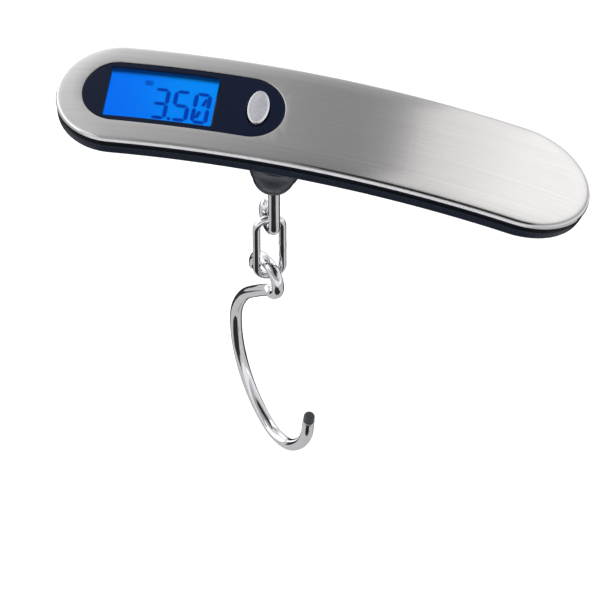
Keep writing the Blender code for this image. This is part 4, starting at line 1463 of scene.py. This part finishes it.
@dataclass(frozen=True)
class Flag:
    """A black or grey card that gives polished metal its dark lines and soft tones.

    Attributes:
        name: Card's name.
        place: Position of its middle.
        facing: Direction that it faces.
        size: Width and height.
        shade: Its albedo.
    """

    name: str
    place: tuple[float, float, float]
    facing: tuple[float, float, float]
    size: tuple[float, float]
    shade: float = 0.008

    def build(self) -> None:
        """Make the card, seen in reflections only."""
        half_wide, half_tall = self.size[0] / 2, self.size[1] / 2
        bm = bmesh.new()
        corners = [bm.verts.new((x, y, 0.0)) for x, y in ((-half_wide, -half_tall), (half_wide, -half_tall),
                                                         (half_wide, half_tall), (-half_wide, half_tall))]
        bm.faces.new(corners)
        card = as_object(self.name, bm)
        card.location = self.place
        card.rotation_euler = Vector(self.facing).to_track_quat("Z", "Y").to_euler()
        card.data.materials.append(replace(FLAG, name=self.name, colour=(self.shade,) * 3).material())
        card.visible_camera = False
        card.visible_diffuse = False
        card.visible_shadow = False
        card.visible_transmission = False


@dataclass
class Studio:
    """Floor, lights, flags and camera."""

    azimuth: float = math.radians(8.04)
    elevation: float = math.radians(49.53)
    distance: float = 1.4418
    right: float = -8.34 * MM
    up: float = -51.47 * MM
    lens: float = 300.0
    floor_drop: float = 250.0 * MM
    floor_reach: float = 6.0
    overhead: float = 2.4
    overhead_spread: float = math.radians(40.0)
    sky: tuple[float, float, float] = (0.97, 0.98, 1.0)
    sky_across: tuple[Point2, Point2] = ((-0.30, 0.12), (0.82, 0.36))
    sky_low: tuple[Point2, Point2] = ((0.30, 0.71), (2.2, 1.0))
    softboxes: tuple[Softbox, ...] = (
        *(Softbox("right_card_%d" % number, ((start + end) / 2, 0.82, 0.876), (0.0, -0.684, -0.73),
                  (end - start, 1.2), glow)
          for number, (start, end, glow) in enumerate(
              ((0.335, 0.38, 0.80), (0.38, 0.45, 0.80), (0.45, 0.53, 0.92), (0.53, 1.2, 1.16)), 1)),
    )
    flags: tuple[Flag, ...] = (
        Flag("front_card_low", (0.05, -0.70, -0.20), (0.0, 1.0, 0.0), (2.4, 0.40), 0.72),
        Flag("front_card_high", (0.05, -0.70, 0.17), (0.0, 1.0, 0.0), (2.4, 0.34), 0.33),
        Flag("low_flag", (-0.03, -0.285, -0.32), (0.0, 0.0, 1.0), (0.36, 0.37)),
        Flag("back_flag", (0.0, 0.26, -0.32), (0.0, 0.0, 1.0), (0.7, 0.34)),
        Flag("low_card", (0.0, 0.0, -0.33), (0.0, 0.0, 1.0), (2.4, 2.4), 0.36),
        Flag("high_card_left", (-0.30, -0.42, 0.62), (0.0, 0.5, -0.8), (0.28, 0.95), 0.33),
        Flag("high_card_middle", (-0.03, -0.42, 0.62), (0.0, 0.5, -0.8), (0.26, 0.95), 0.20),
        Flag("high_flag", (0.45, -0.42, 0.62), (0.0, 0.5, -0.8), (0.70, 0.95)),
    )

    def build(self) -> None:
        """Make the world, the floor, the lights, the flags and the camera."""
        self._world()
        self._floor()
        for card in (*self.softboxes, *self.flags):
            card.build()
        self._overhead()
        self._camera()
        bpy.context.scene.view_settings.view_transform = "Standard"

    def _world(self) -> None:
        """Soft surround, brighter on the display's side and near the horizon."""
        world = bpy.data.worlds.new("surround")
        world.use_nodes = True
        tree = world.node_tree
        back = tree.nodes["Background"]
        back.inputs["Color"].default_value = (*self.sky, 1.0)
        sight = coordinates(tree, "Generated")
        strength = product(tree, ramp(tree, sight["X"], *self.sky_across), ramp(tree, sight["Z"], *self.sky_low))
        tree.links.new(strength, back.inputs["Strength"])
        bpy.context.scene.world = world

    def _overhead(self) -> None:
        """Wide overhead light that fills the floor and leaves no reflection."""
        lamp = bpy.data.lights.new("overhead", "SUN")
        lamp.energy = self.overhead
        lamp.angle = self.overhead_spread
        piece = bpy.data.objects.new("overhead", lamp)
        bpy.context.scene.collection.objects.link(piece)
        piece.visible_glossy = False

    def _floor(self) -> None:
        """Wide floor under the hook."""
        bm = bmesh.new()
        bmesh.ops.create_grid(bm, x_segments=8, y_segments=8, size=self.floor_reach)
        floor = as_object("floor", bm)
        floor.location.z = CAD_BOUNDS[0][2] - self.floor_drop
        floor.data.materials.append(FLOOR.material())

    def _camera(self) -> None:
        """Camera with no shift and no depth of field."""
        sight = Vector((math.sin(self.azimuth) * math.cos(self.elevation),
                        -math.cos(self.azimuth) * math.cos(self.elevation), math.sin(self.elevation)))
        side = Vector((math.cos(self.azimuth), math.sin(self.azimuth), 0.0))
        top = sight.cross(side)
        lens = bpy.data.cameras.new("camera")
        lens.lens = self.lens
        lens.sensor_width = 36.0
        lens.clip_start = 0.01
        lens.clip_end = 50.0
        camera = bpy.data.objects.new("camera", lens)
        bpy.context.scene.collection.objects.link(camera)
        turn = Matrix((side, top, sight)).transposed().to_4x4()
        camera.matrix_world = Matrix.Translation(side * self.right + top * self.up + sight * self.distance) @ turn
        bpy.context.scene.camera = camera


def main() -> None:
    """Build every piece in order."""
    logging.basicConfig(level=logging.INFO, format="%(name)s: %(message)s")
    for part in (TopCover(), SeamFrame(), Housing(), Window(), Button(), Chain(), Studio()):
        part.build()
        LOG.info("built %s", type(part).__name__)
    dress_inner(frame["nodes"])


if __name__ == "__main__":
    main()
